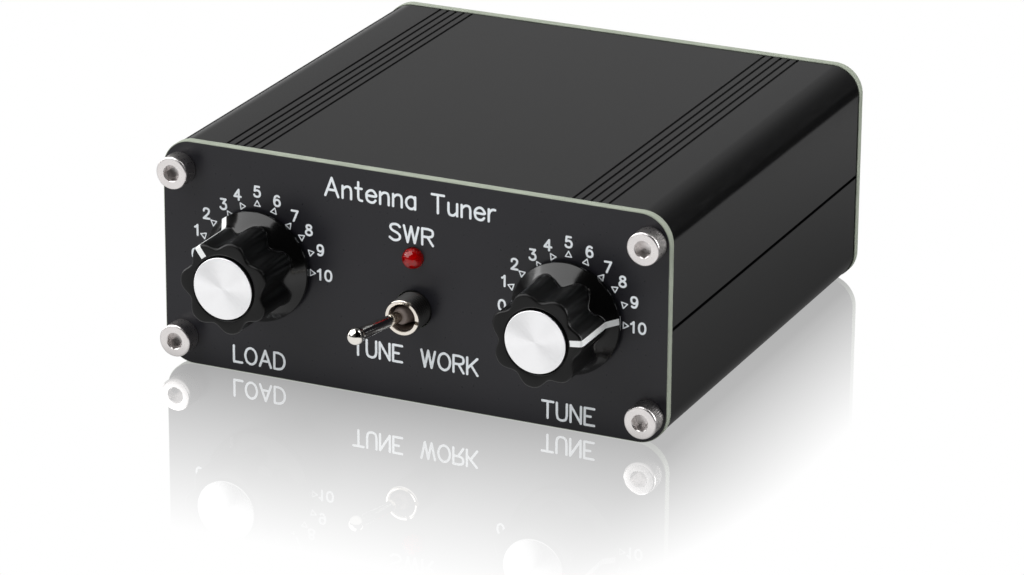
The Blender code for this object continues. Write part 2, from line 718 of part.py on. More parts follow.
def make_socket(name, x):
    """A bayonet coaxial socket: body with two lugs, insulator, contact and nut."""
    nickel = material("bright_nickel", (0.7, 0.68, 0.64), 0.15, 1.0)
    white = material("insulator_white", (0.85, 0.85, 0.82), 0.4)
    gold = material("gold_contact", (0.85, 0.6, 0.2), 0.2, 1.0)
    inside = -PANEL_T - GAP
    barrel = [(4.35, SOCKET_TOP), (SOCKET_R, SOCKET_TOP), (SOCKET_R, 4.8),
              (SOCKET_THREAD_R, 4.5), (SOCKET_THREAD_R, inside), (SOCKET_FLANGE_R, inside),
              (SOCKET_FLANGE_R, inside - 2.0), (5.5, inside - 2.0), (5.5, SOCKET_TAIL),
              (2.6, SOCKET_TAIL), (2.6, SOCKET_BORE_FLOOR), (SOCKET_BORE_R, SOCKET_BORE_FLOOR),
              (SOCKET_BORE_R, SOCKET_TOP - 0.4), (4.35, SOCKET_TOP)]
    body = on_rear(f"{name}_socket_body", lathe(barrel, 20), nickel, x, MID_Z)
    lugs = merged(*[radial_cylinder(LUG_R, SOCKET_R - 0.4, SOCKET_R + 0.7, angle, LUG_H)
                    for angle in (90, 270)])
    tool_like(body, lugs, "UNION")

    bore = CONTACT_R + GAP
    step = SOCKET_BORE_FLOOR + GAP
    sleeve = [(bore, SOCKET_TAIL), (2.3, SOCKET_TAIL), (2.3, step), (3.0, step),
              (3.0, SOCKET_TOP - 1), (bore, SOCKET_TOP - 1), (bore, SOCKET_TAIL)]
    on_rear(f"{name}_socket_insulator", lathe(sleeve, 14), white, x, MID_Z)
    tip = SOCKET_TOP - 0.8
    pin = [(0, SOCKET_TAIL - 3), (CONTACT_R, SOCKET_TAIL - 3), (CONTACT_R, tip),
           (CONTACT_R / 2, tip), (CONTACT_R / 2, 8.0), (0, 8.0)]
    on_rear(f"{name}_socket_contact", lathe(pin, 12), gold, x, MID_Z)

    nut = prism(polygon(SOCKET_NUT_AF / math.sqrt(3), 6, 30), GAP, GAP + SOCKET_NUT_T)
    nut = on_rear(f"{name}_socket_nut", nut, nickel, x, MID_Z)
    tool_like(nut, prism(circle(0, 0, SOCKET_THREAD_R + GAP, 20), 0, 4))


def make_post(name, x, colour):
    """A binding post: insulating collar, threaded stud and a fluted thumb nut."""
    plastic = material(f"post_{name}", colour, 0.25)
    nickel = material("bright_nickel", (0.7, 0.68, 0.64), 0.15, 1.0)
    clear = POST_STUD_R + GAP
    collar = [(clear, -PANEL_T), (SHAFT_R, -PANEL_T), (SHAFT_R, GAP), (POST_COLLAR_R, GAP),
              (POST_COLLAR_R, POST_COLLAR_TOP), (clear, POST_COLLAR_TOP), (clear, -PANEL_T)]
    on_rear(f"{name}_post_collar", lathe(collar, 16), plastic, x, MID_Z)

    stud = lathe([(0, POST_STUD_TAIL), (POST_STUD_R, POST_STUD_TAIL),
                  (POST_STUD_R, POST_STUD_TOP - 0.3), (POST_STUD_R - 0.3, POST_STUD_TOP),
                  (0, POST_STUD_TOP)], 12)
    stud = on_rear(f"{name}_post_stud", stud, nickel, x, MID_Z)
    tool_like(stud, radial_cylinder(POST_HOLE_R, -4, 4, 90, POST_COLLAR_TOP + 1.6))

    steps = 3 * POST_FLUTES
    flutes = []
    for i in range(steps):
        a = 2 * math.pi * i / steps
        r = POST_R - 0.25 + 0.25 * math.cos(POST_FLUTES * a)
        flutes.append((r * math.cos(a), r * math.sin(a)))
    plain = circle(0, 0, POST_R - 0.5, steps)
    foot = POST_COLLAR_TOP + GAP
    nut = stacked([(plain, foot), (plain, foot + 1.5), (flutes, foot + 2.2),
                   (flutes, POST_TOP - 0.5), (circle(0, 0, POST_R - 0.9, steps), POST_TOP)])
    nut = on_rear(f"{name}_post_nut", nut, plastic, x, MID_Z)
    tool_like(nut, prism(circle(0, 0, clear, 16), foot - 1, POST_TOP + 1))


def pivot(name, x, y, z, turn=(0, 0, 0)):
    """An empty on a joint's axis, which carries the moving pieces."""
    empty = bpy.data.objects.new(name, None)
    empty.location = Vector((x, y, z)) * MM
    empty.rotation_euler = turn
    bpy.context.scene.collection.objects.link(empty)
    return empty


def main():
    clear_scene()
    make_shells()
    make_panels()
    make_case_screws()
    for name, x, pointer in (("load", LOAD_X, LOAD_POINTER), ("tune", TUNE_X, TUNE_POINTER)):
        make_knob(name, x, pointer)
        make_varicap(name, x, pointer)
    make_lamp()
    lean = (0, 0, -math.radians(LEVER_LEAN))
    make_switch(pivot("lever_pivot", SWITCH[0], -FACE - PIVOT_H, SWITCH[1], lean))
    make_electronics()
    for name, x in zip(("radio", "antenna"), SOCKET_X):
        make_socket(name, x)
    make_post("red", POST_X[0], (0.45, 0.01, 0.01))
    make_post("black", POST_X[1], (0.01, 0.01, 0.01))


main()
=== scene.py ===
"""The looks of a small antenna tuner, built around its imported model.

Lengths are in millimetres until a mesh is made. X is to the right and Z up as seen
from the front, and Y runs from the front panel to the rear one.
"""

import json
import math

import bmesh
import bpy
from mathutils import Matrix, Vector
from mathutils.geometry import delaunay_2d_cdt


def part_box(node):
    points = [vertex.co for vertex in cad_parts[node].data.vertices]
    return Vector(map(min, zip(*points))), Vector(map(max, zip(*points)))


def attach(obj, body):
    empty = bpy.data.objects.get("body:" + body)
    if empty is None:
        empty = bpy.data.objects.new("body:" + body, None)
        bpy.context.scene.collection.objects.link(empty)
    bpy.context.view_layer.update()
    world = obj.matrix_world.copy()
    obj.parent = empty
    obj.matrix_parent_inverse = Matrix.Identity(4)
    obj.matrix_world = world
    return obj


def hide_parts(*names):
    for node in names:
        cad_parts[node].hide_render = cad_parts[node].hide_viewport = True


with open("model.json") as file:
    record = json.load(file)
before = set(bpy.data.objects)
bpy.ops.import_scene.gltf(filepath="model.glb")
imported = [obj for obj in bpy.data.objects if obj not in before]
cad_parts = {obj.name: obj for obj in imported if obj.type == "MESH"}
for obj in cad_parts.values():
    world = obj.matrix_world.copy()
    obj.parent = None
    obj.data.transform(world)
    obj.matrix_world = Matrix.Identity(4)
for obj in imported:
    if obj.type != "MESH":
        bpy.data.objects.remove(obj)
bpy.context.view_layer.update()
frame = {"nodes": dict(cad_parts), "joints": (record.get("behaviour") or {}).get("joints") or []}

MM = 0.001
JOINTS = {joint["name"]: joint for joint in frame["joints"]}

# A piece turned this way has its own +Z pointing out of the front or rear panel
FRONT_TURN = (math.pi / 2, 0.0, 0.0)
REAR_TURN = (math.pi / 2, 0.0, math.pi)


def low_high(node):
    """Corners of a CAD node, in millimetres."""
    low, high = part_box(node)
    return low / MM, high / MM


def middle(node):
    low, high = low_high(node)
    return (low + high) / 2


# Places and sizes that the frame gives
PANEL_LOW, PANEL_HIGH = low_high("front_panel")
SHELL_LOW, SHELL_HIGH = low_high("upper_shell")
LOWER_LOW, LOWER_HIGH = low_high("lower_shell")
FRONT_Y = PANEL_LOW.y
REAR_Y = low_high("rear_panel")[1].y
PANEL_W = PANEL_HIGH.x - PANEL_LOW.x
PANEL_H = PANEL_HIGH.z - PANEL_LOW.z
PANEL_T = PANEL_HIGH.y - PANEL_LOW.y
MID_Z = PANEL_H / 2
LOAD_X = JOINTS["load_turn"]["pos_m"][0] / MM
TUNE_X = JOINTS["tune_turn"]["pos_m"][0] / MM
LOAD_POINTER = JOINTS["load_turn"]["range_deg"][1]
TUNE_POINTER = JOINTS["tune_turn"]["range_deg"][1]
SWITCH = middle("switch_bushing")
LAMP = middle("signal_lamp")
SWITCH_AT = (SWITCH.x, FRONT_Y, SWITCH.z)
LAMP_AT = (LAMP.x, FRONT_Y, LAMP.z)
LEVER_PIVOT = [value / MM for value in JOINTS["lever_throw"]["pos_m"]]
BUSHING_TOP = FRONT_Y - low_high("switch_bushing")[0].y

PANEL_R = 5.0
SHELL_R = 4.85
WALL = 1.6
GROOVE_CENTRES = (-30.45, 29.85)
GROOVE_COUNT = 5
GROOVE_PITCH = 1.5
GROOVE_W = 0.38
GROOVE_D = 0.28
GROOVE_LIP = 0.06
SEAM_GAP = 0.12                # how far each shell stands back from the seam
TONGUE_H = 1.2                 # the upper shell's tongue, inside the lower one's recess
TONGUE_T = 0.6
TONGUE_ROOM = 0.3
PANEL_BITE = 0.13              # how far the shells' ends reach into the panels' backs
FILM_T = 0.035                 # the black film on each face of a panel
FILM_GAP = 0.04
FILM_INSET = 0.14

LOBES = 7
LOBE_R = 7.8
VALLEY_R = 6.55
SKIRT_R = 9.25
SKIRT_EDGE_H = 1.25
RIM_R = 0.28
KNOB_TOP = 12.1
KNOB_FOOT = 0.5
CONE_SLOPE = 1.2               # rise of the skirt's cone per millimetre inwards
CAP_R = 5.15
CAP_TOP = 12.45
POINTER_W = 1.0
GRUB_HOLE_R = 1.7
GRUB_HOLE_H = 6.0


# ---- outlines

def arc(cx, cy, radius, start, end, steps):
    points = []
    for i in range(steps + 1):
        a = math.radians(start + (end - start) * i / steps)
        points.append((cx + radius * math.cos(a), cy + radius * math.sin(a)))
    return points


def circle(cx, cy, radius, steps):
    return arc(cx, cy, radius, 0.0, 360.0, steps)[:-1]


def polygon(radius, corners, turn=0.0):
    return arc(0, 0, radius, turn, turn + 360, corners)[:-1]


def ring(radius, height, steps, flutes=0, depth=0.0, power=1):
    """A level ring of points, whose radius dips by a depth between flutes."""
    points = []
    for i in range(steps):
        a = 2 * math.pi * i / steps
        r = radius - depth * abs(math.sin(flutes / 2 * a)) ** power
        points.append((r * math.cos(a), r * math.sin(a), height))
    return points


def rounded_rectangle(cx, cy, width, height, radius, steps=16):
    x = width / 2 - radius
    y = height / 2 - radius
    points = []
    for sx, sy, start in ((1, 1, 0), (-1, 1, 90), (-1, -1, 180), (1, -1, 270)):
        points += arc(cx + sx * x, cy + sy * y, radius, start, start + 90, steps)
    return points


def smooth(points, closed, steps=5):
    """A Catmull-Rom curve through the points."""
    count = len(points)
    spans = count if closed else count - 1
    line = []
    for i in range(spans):
        if closed:
            four = [points[(i + k) % count] for k in (-1, 0, 1, 2)]
        else:
            four = [points[min(max(i + k, 0), count - 1)] for k in (-1, 0, 1, 2)]
        p0, p1, p2, p3 = [Vector(p) for p in four]
        for s in range(steps):
            t = s / steps
            line.append(0.5 * (2 * p1 + (p2 - p0) * t + (2 * p0 - 5 * p1 + 4 * p2 - p3) * t * t
                               + (3 * p1 - p0 - 3 * p2 + p3) * t ** 3))
    if not closed:
        line.append(Vector(points[-1]))
    return line


# ---- meshes

def prism(outline, low, high):
    bm = bmesh.new()
    face = bm.faces.new([bm.verts.new((x, y, low)) for x, y in outline])
    raised = bmesh.ops.extrude_face_region(bm, geom=[face])["geom"]
    tops = [v for v in raised if isinstance(v, bmesh.types.BMVert)]
    bmesh.ops.translate(bm, verts=tops, vec=(0, 0, high - low))
    return bm


def loft(loops, closed_loops=False):
    """A closed body through loops of equal point count, each a list of (x, y, z)."""
    bm = bmesh.new()
    rings = [[bm.verts.new(p) for p in loop] for loop in loops]
    pairs = list(zip(rings, rings[1:]))
    if closed_loops:
        pairs.append((rings[-1], rings[0]))
    count = len(loops[0])
    for low, high in pairs:
        for i in range(count):
            j = (i + 1) % count
            bm.faces.new((low[i], low[j], high[j], high[i]))
    if not closed_loops:
        bm.faces.new(rings[0])
        bm.faces.new(rings[-1])
    return bm


def lathe(profile, segments):
    """(radius, height) points turned about Z: solid if they start and end on the axis,
    a ring if the last point is the first one again."""
    ring_shaped = profile[0] == profile[-1]
    points = profile[:-1] if ring_shaped else profile
    bm = bmesh.new()
    rings = []
    for radius, height in points:
        if radius < 1e-6:
            rings.append([bm.verts.new((0, 0, height))] * segments)
        else:
            rings.append([bm.verts.new(p) for p in ring(radius, height, segments)])
    pairs = list(zip(rings, rings[1:]))
    if ring_shaped:
        pairs.append((rings[-1], rings[0]))
    for low, high in pairs:
        for i in range(segments):
            j = (i + 1) % segments
            corners = []
            for vert in (low[i], low[j], high[j], high[i]):
                if vert not in corners:
                    corners.append(vert)
            if len(corners) > 2:
                bm.faces.new(corners)
    return bm


def rounded_profile(points, radii, steps=4):
    """Profile corners rounded: radii gives each corner's radius, 0 for a sharp one."""
    line = []
    for i, (point, radius) in enumerate(zip(points, radii)):
        corner = Vector(point)
        if radius == 0 or i in (0, len(points) - 1):
            line.append(tuple(corner))
            continue
        before = (Vector(points[i - 1]) - corner).normalized()
        after = (Vector(points[i + 1]) - corner).normalized()
        half = before.angle(after) / 2
        reach = radius / math.tan(half)
        centre = corner + (before + after).normalized() * radius / math.sin(half)
        start = corner + before * reach - centre
        sweep = (corner + after * reach - centre).angle_signed(start)
        for s in range(steps + 1):
            turned = Matrix.Rotation(sweep * s / steps, 2) @ start
            line.append(tuple(centre + turned))
    return line


def merged(parts):
    """One mesh of several, which may overlap."""
    whole = bmesh.new()
    for part in parts:
        scratch = bpy.data.meshes.new("scratch")
        bmesh.ops.recalc_face_normals(part, faces=part.faces)
        part.to_mesh(scratch)
        part.free()
        whole.from_mesh(scratch)
        bpy.data.meshes.remove(scratch)
    return whole


def moved(bm, matrix):
    bmesh.ops.transform(bm, matrix=matrix, verts=bm.verts)
    return bm


def radial_cylinder(radius, near, far, angle, height):
    """A cylinder lying along a radius, from near to far, at a height."""
    place = (Matrix.Translation((0, 0, height)) @ Matrix.Rotation(math.radians(angle), 4, "Z")
             @ Matrix.Rotation(math.pi / 2, 4, "Y"))
    return moved(prism(circle(0, 0, radius, 24), near, far), place)


def make(name, bm, mat, at=(0, 0, 0), turn=(0, 0, 0), sharp=35):
    """An object from a mesh in millimetres, at a place in millimetres."""
    bmesh.ops.recalc_face_normals(bm, faces=bm.faces)
    bmesh.ops.scale(bm, vec=(MM, MM, MM), verts=bm.verts)
    mesh = bpy.data.meshes.new(name)
    bm.to_mesh(mesh)
    bm.free()
    mesh.shade_smooth()
    mesh.set_sharp_from_angle(angle=math.radians(sharp))
    if mat is not None:
        mesh.materials.append(mat)
    obj = bpy.data.objects.new(name, mesh)
    obj.location = Vector(at) * MM
    obj.rotation_euler = turn
    bpy.context.scene.collection.objects.link(obj)
    return obj


def bevelled(obj, width, angle=40):
    modifier = obj.modifiers.new("Edge", "BEVEL")
    modifier.width = width * MM
    modifier.segments = 2
    modifier.limit_method = "ANGLE"
    modifier.angle_limit = math.radians(angle)
    modifier.harden_normals = True
    return obj


def cut(target, bm, operation="DIFFERENCE"):
    """Cut a mesh out of a piece, or join it on, in the piece's own frame."""
    tool = make("tool", bm, None)
    tool.location = target.location
    tool.rotation_euler = target.rotation_euler
    modifier = target.modifiers.new("Cut", "BOOLEAN")
    modifier.operation = operation
    modifier.solver = "EXACT"
    modifier.use_self = operation == "UNION"
    modifier.object = tool
    settle(target)
    bpy.data.objects.remove(tool, do_unlink=True)


def settle(obj):
    """Turn the modifiers into plain mesh."""
    graph = bpy.context.evaluated_depsgraph_get()
    mesh = bpy.data.meshes.new_from_object(obj.evaluated_get(graph))
    obj.modifiers.clear()
    obj.data = mesh


def resharpen(obj, angle=35):
    obj.data.shade_smooth()
    obj.data.set_sharp_from_angle(angle=math.radians(angle))


def piece(obj, body, slot, *nodes):
    """Tie a finished piece to its body and hide the CAD nodes it replaces; its material slot is not
    used.
    """
    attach(obj, body)
    if nodes:
        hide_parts(*nodes)


# ---- materials

class Net:
    """Short ways to add and link the nodes of one material or world."""

    def __init__(self, owner):
        owner.use_nodes = True
        self.tree = owner.node_tree
        self.tree.nodes.clear()

    def add(self, kind, inputs, **settings):
        """A node, each of its inputs set to a plain value or to another node's output."""
        node = self.tree.nodes.new(kind)
        for key, value in settings.items():
            setattr(node, key, value)
        for key, value in inputs.items():
            if isinstance(value, bpy.types.NodeSocket):
                self.tree.links.new(value, node.inputs[key])
            else:
                node.inputs[key].default_value = value
        return node

    def principled(self, inputs):
        """The material's shader and output."""
        shader = self.add("ShaderNodeBsdfPrincipled", inputs)
        self.add("ShaderNodeOutputMaterial", {"Surface": shader.outputs["BSDF"]})

    def place(self, stretch=(1, 1, 1)):
        """The piece's own coordinates, stretched along its axes."""
        where = self.add("ShaderNodeTexCoord", {}).outputs["Object"]
        mapping = self.add("ShaderNodeMapping", {"Vector": where, "Scale": stretch})
        return mapping.outputs["Vector"]

    def axes(self, vector):
        """The X, Y and Z of a vector."""
        return tuple(self.add("ShaderNodeSeparateXYZ", {"Vector": vector}).outputs)

    def radius(self, where):
        """Distance from the piece's own Z axis."""
        flat = self.add("ShaderNodeVectorMath", {0: where, 1: (1, 1, 0)}, operation="MULTIPLY")
        length = self.add("ShaderNodeVectorMath", {0: flat.outputs["Vector"]},
                          operation="LENGTH")
        return length.outputs["Value"]

    def noise(self, vector, scale, detail=4.0):
        node = self.add("ShaderNodeTexNoise", {"Vector": vector, "Scale": scale,
                                               "Detail": detail, "Roughness": 0.6})
        return node.outputs["Fac"]

    def ramp(self, value, low, high, start=0.3, end=0.7):
        """The value's range from start to end, as numbers from low to high."""
        node = self.add("ShaderNodeMapRange", {"Value": value, "From Min": start, "From Max": end,
                                               "To Min": low, "To Max": high})
        return node.outputs["Result"]

    def colours(self, value, stops):
        """Colours blended between stops, each a position and a colour."""
        node = self.add("ShaderNodeValToRGB", {"Fac": value})
        elements = node.color_ramp.elements
        for element, (position, colour) in zip(elements, (stops[0], stops[-1])):
            element.position = position
            element.color = (*colour, 1)
        for position, colour in stops[1:-1]:
            elements.new(position).color = (*colour, 1)
        return node.outputs["Color"]

    def greys(self, value, stops):
        return self.colours(value, [(position, (grey, grey, grey)) for position, grey in stops])

    def cloud(self, value, first, second):
        """Two colours blended by a noise."""
        return self.colours(value, ((0.3, first), (0.7, second)))

    def mixed(self, factor, first, second):
        node = self.add("ShaderNodeMixRGB", {"Fac": factor, "Color1": first, "Color2": second})
        return node.outputs["Color"]

    def maths(self, operation, first, second=0.0):
        return self.add("ShaderNodeMath", {0: first, 1: second}, operation=operation).outputs[0]

    def bump(self, height, strength, distance):
        node = self.add("ShaderNodeBump", {"Height": height, "Strength": strength,
                                           "Distance": distance})
        return node.outputs["Normal"]


def new_material(name):
    mat = bpy.data.materials.new(name)
    return mat, Net(mat)


def shade(colour, factor):
    return tuple(min(1.0, c * factor) for c in colour)


def surface(name, colour, roughness, metallic=0.0, vary=0.12, grain=900.0,
            stretch=(1, 1, 1), spread=0.05, bump=0.1, depth=0.00003, specular=0.5,
            transmission=0.0):
    """A material whose colour, roughness and height all vary with a fine grain."""
    mat, net = new_material(name)
    where = net.place(stretch)
    fine = net.noise(where, grain)
    broad = net.noise(where, grain / 12, 2.0)
    net.principled({
        "Base Color": net.cloud(broad, shade(colour, 1 - vary), shade(colour, 1 + vary)),
        "Roughness": net.ramp(fine, max(0.02, roughness - spread), roughness + spread),
        "Normal": net.bump(fine, bump, depth), "Metallic": metallic,
        "Specular IOR Level": specular, "Transmission Weight": transmission})
    return mat


ANODISED = surface("black_anodised", (0.0032, 0.0032, 0.0034), 0.17, vary=0.05, grain=2600,
                   stretch=(1, 1, 0.08), spread=0.03, bump=0.03, depth=0.00001, specular=0.3)
MASK = surface("black_solder_mask", (0.0125, 0.0122, 0.0155), 0.3, vary=0.06, grain=1400,
               spread=0.03, bump=0.05, depth=0.00001, specular=0.3)
FIBRE = surface("board_edge", (0.335, 0.37, 0.30), 0.6, grain=2500, stretch=(1, 1, 6),
                bump=0.3, specular=0.3)
INK = surface("print_white", (0.86, 0.90, 0.93), 0.5, vary=0.03, grain=3000, bump=0.2,
              specular=0.3)
PAINT = surface("pointer_paint", (0.90, 0.92, 0.92), 0.35, vary=0.03, grain=1500)
STEEL = surface("stainless_steel", (0.74, 0.71, 0.70), 0.3, 1.0, vary=0.05, grain=2500,
                bump=0.08, depth=0.00001)
NICKEL = surface("bright_nickel", (0.76, 0.73, 0.68), 0.11, 1.0, vary=0.04, grain=1800,
                 bump=0.04, depth=0.000006, spread=0.03)
# The pivot ball is nickel like the lever; its dull brown is a painted reflection
PIVOT = surface("switch_pivot", (0.20, 0.165, 0.15), 0.6, 0.3, vary=0.1, grain=1500)
BRASS = surface("brass", (0.72, 0.53, 0.24), 0.3, 1.0, vary=0.08)
MILKY = surface("capacitor_plastic", (0.75, 0.75, 0.70), 0.4, vary=0.05, transmission=0.3)
PLATES = surface("capacitor_plates", (0.75, 0.75, 0.76), 0.35, 1.0, stretch=(1, 12, 1))
TINNED = surface("tinned_wire", (0.70, 0.70, 0.68), 0.3, 1.0)
BASE_BLUE = surface("switch_base", (0.03, 0.08, 0.35), 0.5, bump=0.2)
BOARD = surface("board_green", (0.01, 0.11, 0.04), 0.4, vary=0.2, grain=600, bump=0.15)
IRON = surface("core_red", (0.38, 0.03, 0.02), 0.55, vary=0.2, grain=800, bump=0.4)
FERRITE = surface("ferrite", (0.05, 0.05, 0.055), 0.6, vary=0.2, grain=1500, bump=0.5)
COPPER = surface("copper_wire", (0.70, 0.30, 0.13), 0.25, 1.0, vary=0.1)
RESISTOR = surface("resistor_body", (0.12, 0.33, 0.48), 0.45, vary=0.15, bump=0.2)
GLASS = surface("diode_glass", (0.60, 0.30, 0.15), 0.08, transmission=0.7)
TEFLON = surface("insulator_white", (0.86, 0.86, 0.83), 0.4, vary=0.03)
GOLD = surface("gold_contact", (0.85, 0.62, 0.25), 0.2, 1.0, vary=0.05)
POST_RED = surface("post_red", (0.45, 0.008, 0.01), 0.22, vary=0.08, bump=0.06)
POST_BLACK = surface("post_black", (0.008, 0.008, 0.008), 0.22, vary=0.08, bump=0.06)


def spun_material():
    """Aluminium turned on a lathe: fine rings about the piece's own Z axis."""
    mat, net = new_material("cap_aluminium")
    where = net.place()
    rings = net.add("ShaderNodeTexWave", {"Vector": where, "Scale": 1600.0, "Distortion": 1.5,
                                          "Detail": 3.0}, wave_type="RINGS", rings_direction="Z")
    rings = rings.outputs["Fac"]
    tangent = net.add("ShaderNodeTangent", {}, direction_type="RADIAL", axis="Z")
    net.principled({
        "Base Color": net.cloud(rings, (0.86, 0.86, 0.87), (0.93, 0.93, 0.94)),
        "Roughness": net.ramp(net.noise(where, 2500), 0.28, 0.38),
        "Normal": net.bump(rings, 0.12, 0.00001), "Metallic": 1.0,
        "Anisotropic": 0.85, "Tangent": tangent.outputs["Tangent"]})
    return mat


def knob_material():
    """Black phenolic, polished on the skirt and duller on the fluted wall."""
    mat, net = new_material("knob_plastic")
    where = net.place()
    cloud = net.noise(where, 500)
    height = net.axes(where)[2]
    rise = net.maths("ADD", height, net.maths("MULTIPLY", net.radius(where), CONE_SLOPE))
    cone = (SKIRT_EDGE_H + SKIRT_R * CONE_SLOPE) * MM
    wall = net.ramp(rise, 0.0, 1.0, cone + 0.2 * MM, cone + 0.6 * MM)
    net.principled({
        "Base Color": net.cloud(cloud, (0.0027, 0.0027, 0.0027), (0.0033, 0.0033, 0.0033)),
        "Roughness": net.ramp(wall, 0.13, 0.33, 0.0, 1.0),
        "Normal": net.bump(cloud, 0.02, 0.000002),
        "Specular IOR Level": net.ramp(wall, 0.45, 0.22, 0.0, 1.0)})
    return mat


def bushing_material():
    """Bright nickel at the front ring; behind it, painted shade makes the threads nearly black and
    a painted reflection makes the mouth dull brown.
    """
    mat, net = new_material("bushing_nickel")
    where = net.place()
    height = net.axes(where)[2]
    front = net.ramp(height, 0.0, 1.0, (BUSHING_TOP - 0.75) * MM, (BUSHING_TOP - 0.65) * MM)
    outer = net.ramp(net.radius(where), 0.0, 1.0, 2.4 * MM, 2.5 * MM)
    # Painted shade on the threads (nearly black) and a painted reflection in the mouth (dull
    # brown), both on the same nickel as the front ring
    dark = net.mixed(outer, (0.17, 0.13, 0.11, 1), (0.006, 0.0055, 0.005, 1))
    net.principled({
        "Base Color": net.mixed(front, dark, (0.78, 0.73, 0.66, 1)),
        "Roughness": net.ramp(front, 0.45, 0.15, 0.0, 1.0),
        "Normal": net.bump(net.noise(where, 1800), 0.04, 0.000006),
        "Metallic": net.ramp(front, 0.3, 1.0, 0.0, 1.0)})
    return mat


def lamp_material():
    """Clear red epoxy, a little cloudy."""
    mat, net = new_material("lamp_red")
    cloud = net.noise(net.place(), 900, 3.0)
    net.principled({
        "Base Color": net.cloud(cloud, (0.62, 0.012, 0.02), (0.80, 0.025, 0.035)),
        "Roughness": net.ramp(cloud, 0.03, 0.06), "Normal": net.bump(cloud, 0.02, 0.00001),
        "Transmission Weight": 1.0, "IOR": 1.5})
    return mat


SPUN = spun_material()
KNOB = knob_material()
BUSHING = bushing_material()
LAMP_RED = lamp_material()
LAMP_CORE = surface("lamp_core", (0.62, 0.006, 0.008), 0.45, vary=0.15)


# ---- case

SCREW_HOLE_R = 1.8
SHAFT_HOLE_R = 3.8
LAMP_HOLE_R = 1.75
BUSHING_HOLE_R = 3.15
SOCKET_HOLE_R = 6.2
POST_HOLE_R = 3.3


def shell_section(seam, top):
    """Section of the upper half of the case, from its seam to its top."""
    out_x = (SHELL_HIGH.x - SHELL_LOW.x) / 2
    in_x = out_x - WALL
    points = [(out_x, seam)]
    points += arc(out_x - SHELL_R, top - SHELL_R, SHELL_R, 0, 90, 24)
    for centre in reversed(GROOVE_CENTRES):
        for i in range(GROOVE_COUNT):
            x = centre + GROOVE_PITCH * ((GROOVE_COUNT - 1) / 2 - i)
            half = GROOVE_W / 2
            points += [(x + half + GROOVE_LIP, top), (x + half, top - GROOVE_LIP)]
            points += arc(x, top - GROOVE_D + half, half, 0, -180, 8)
            points += [(x - half, top - GROOVE_LIP), (x - half - GROOVE_LIP, top)]
    points += arc(-out_x + SHELL_R, top - SHELL_R, SHELL_R, 90, 180, 24)
    points += [(-out_x, seam), (-in_x - TONGUE_T, seam), (-in_x - TONGUE_T, seam - TONGUE_H),
               (-in_x, seam - TONGUE_H), (-in_x, top - SHELL_R)]
    points += arc(-out_x + SHELL_R, top - SHELL_R, SHELL_R - WALL, 180, 90, 10)
    points += arc(out_x - SHELL_R, top - SHELL_R, SHELL_R - WALL, 90, 0, 10)
    recess = seam + TONGUE_H + TONGUE_ROOM
    recess_x = in_x + TONGUE_T + TONGUE_ROOM
    points += [(in_x, recess), (recess_x, recess), (recess_x, seam)]
    return points


def make_shells():
    """Both shells, the lower one being the upper one's section turned over."""
    reach = SHELL_HIGH.y + PANEL_BITE
    upper = shell_section(SHELL_LOW.z + TONGUE_H + SEAM_GAP, SHELL_HIGH.z)
    seam = PANEL_H - (LOWER_HIGH.z - TONGUE_H) + SEAM_GAP
    lower = [(-x, PANEL_H - z) for x, z in shell_section(seam, PANEL_H - LOWER_LOW.z)]
    for name, section in (("upper_shell", upper), ("lower_shell", lower)):
        shell = make(f"{name}_skin", prism(section, -reach, reach), ANODISED, turn=FRONT_TURN,
                     sharp=25)
        piece(bevelled(shell, 0.1, 60), "case", "black_anodised", name)


def make_panel(side, y, turn, holes):
    """A glass-fibre core with a black film on both faces, inset from the cut edge."""
    outline = rounded_rectangle(0, MID_Z, PANEL_W, PANEL_H, PANEL_R)
    film = rounded_rectangle(0, MID_Z, PANEL_W - 2 * FILM_INSET, PANEL_H - 2 * FILM_INSET,
                             PANEL_R - FILM_INSET)
    sign = 1 if turn == FRONT_TURN else -1
    layers = (("core", outline, FILM_GAP - PANEL_T, -FILM_GAP, FIBRE, "board_edge", 0.0),
              ("front_film", film, -FILM_T, 0, MASK, "black_solder_mask", 0.05),
              ("back_film", film, -PANEL_T, FILM_T - PANEL_T, MASK, "black_solder_mask", 0.05))
    for part, shape, low, high, mat, slot, grow in layers:
        layer = make(f"{side}_panel_{part}", prism(shape, low, high), mat, (0, y, 0), turn)
        cut(layer, merged([prism(circle(sign * x, z, radius + grow, 48), -3, 3)
                           for x, z, radius in holes]))
        resharpen(layer)
        if part == "core":
            bevelled(layer, 0.08)
        piece(layer, "case", slot, f"{side}_panel")


def make_panels():
    """Both panels, with a hole for each screw and each part that comes through."""
    def holes(radius, *names):
        return [(middle(name).x, middle(name).z, radius) for name in names]

    screws = holes(SCREW_HOLE_R, *[f"front_screw_{i}" for i in range(1, 5)])
    front = [(x, MID_Z, SHAFT_HOLE_R) for x in (LOAD_X, TUNE_X)]
    front += holes(LAMP_HOLE_R, "signal_lamp") + holes(BUSHING_HOLE_R, "switch_bushing")
    rear = holes(SOCKET_HOLE_R, "radio_socket_body", "antenna_socket_body")
    rear += holes(POST_HOLE_R, "red_post_stud", "black_post_stud")
    make_panel("front", FRONT_Y, FRONT_TURN, screws + front)
    make_panel("rear", REAR_Y, REAR_TURN, screws + rear)


# ---- screws

SCREW_TURNS = (8, 41, 22, 52)      # how far each screw's socket is turned
SCREW_LENGTH = 8.0
SCREW_R = 1.5
TALL_HEAD = 2.0
TALL_SOCKET = (2.5, 1.9)           # width across the flats and depth
LOW_SOCKET = (2.0, 1.2)
FLUTES = 48


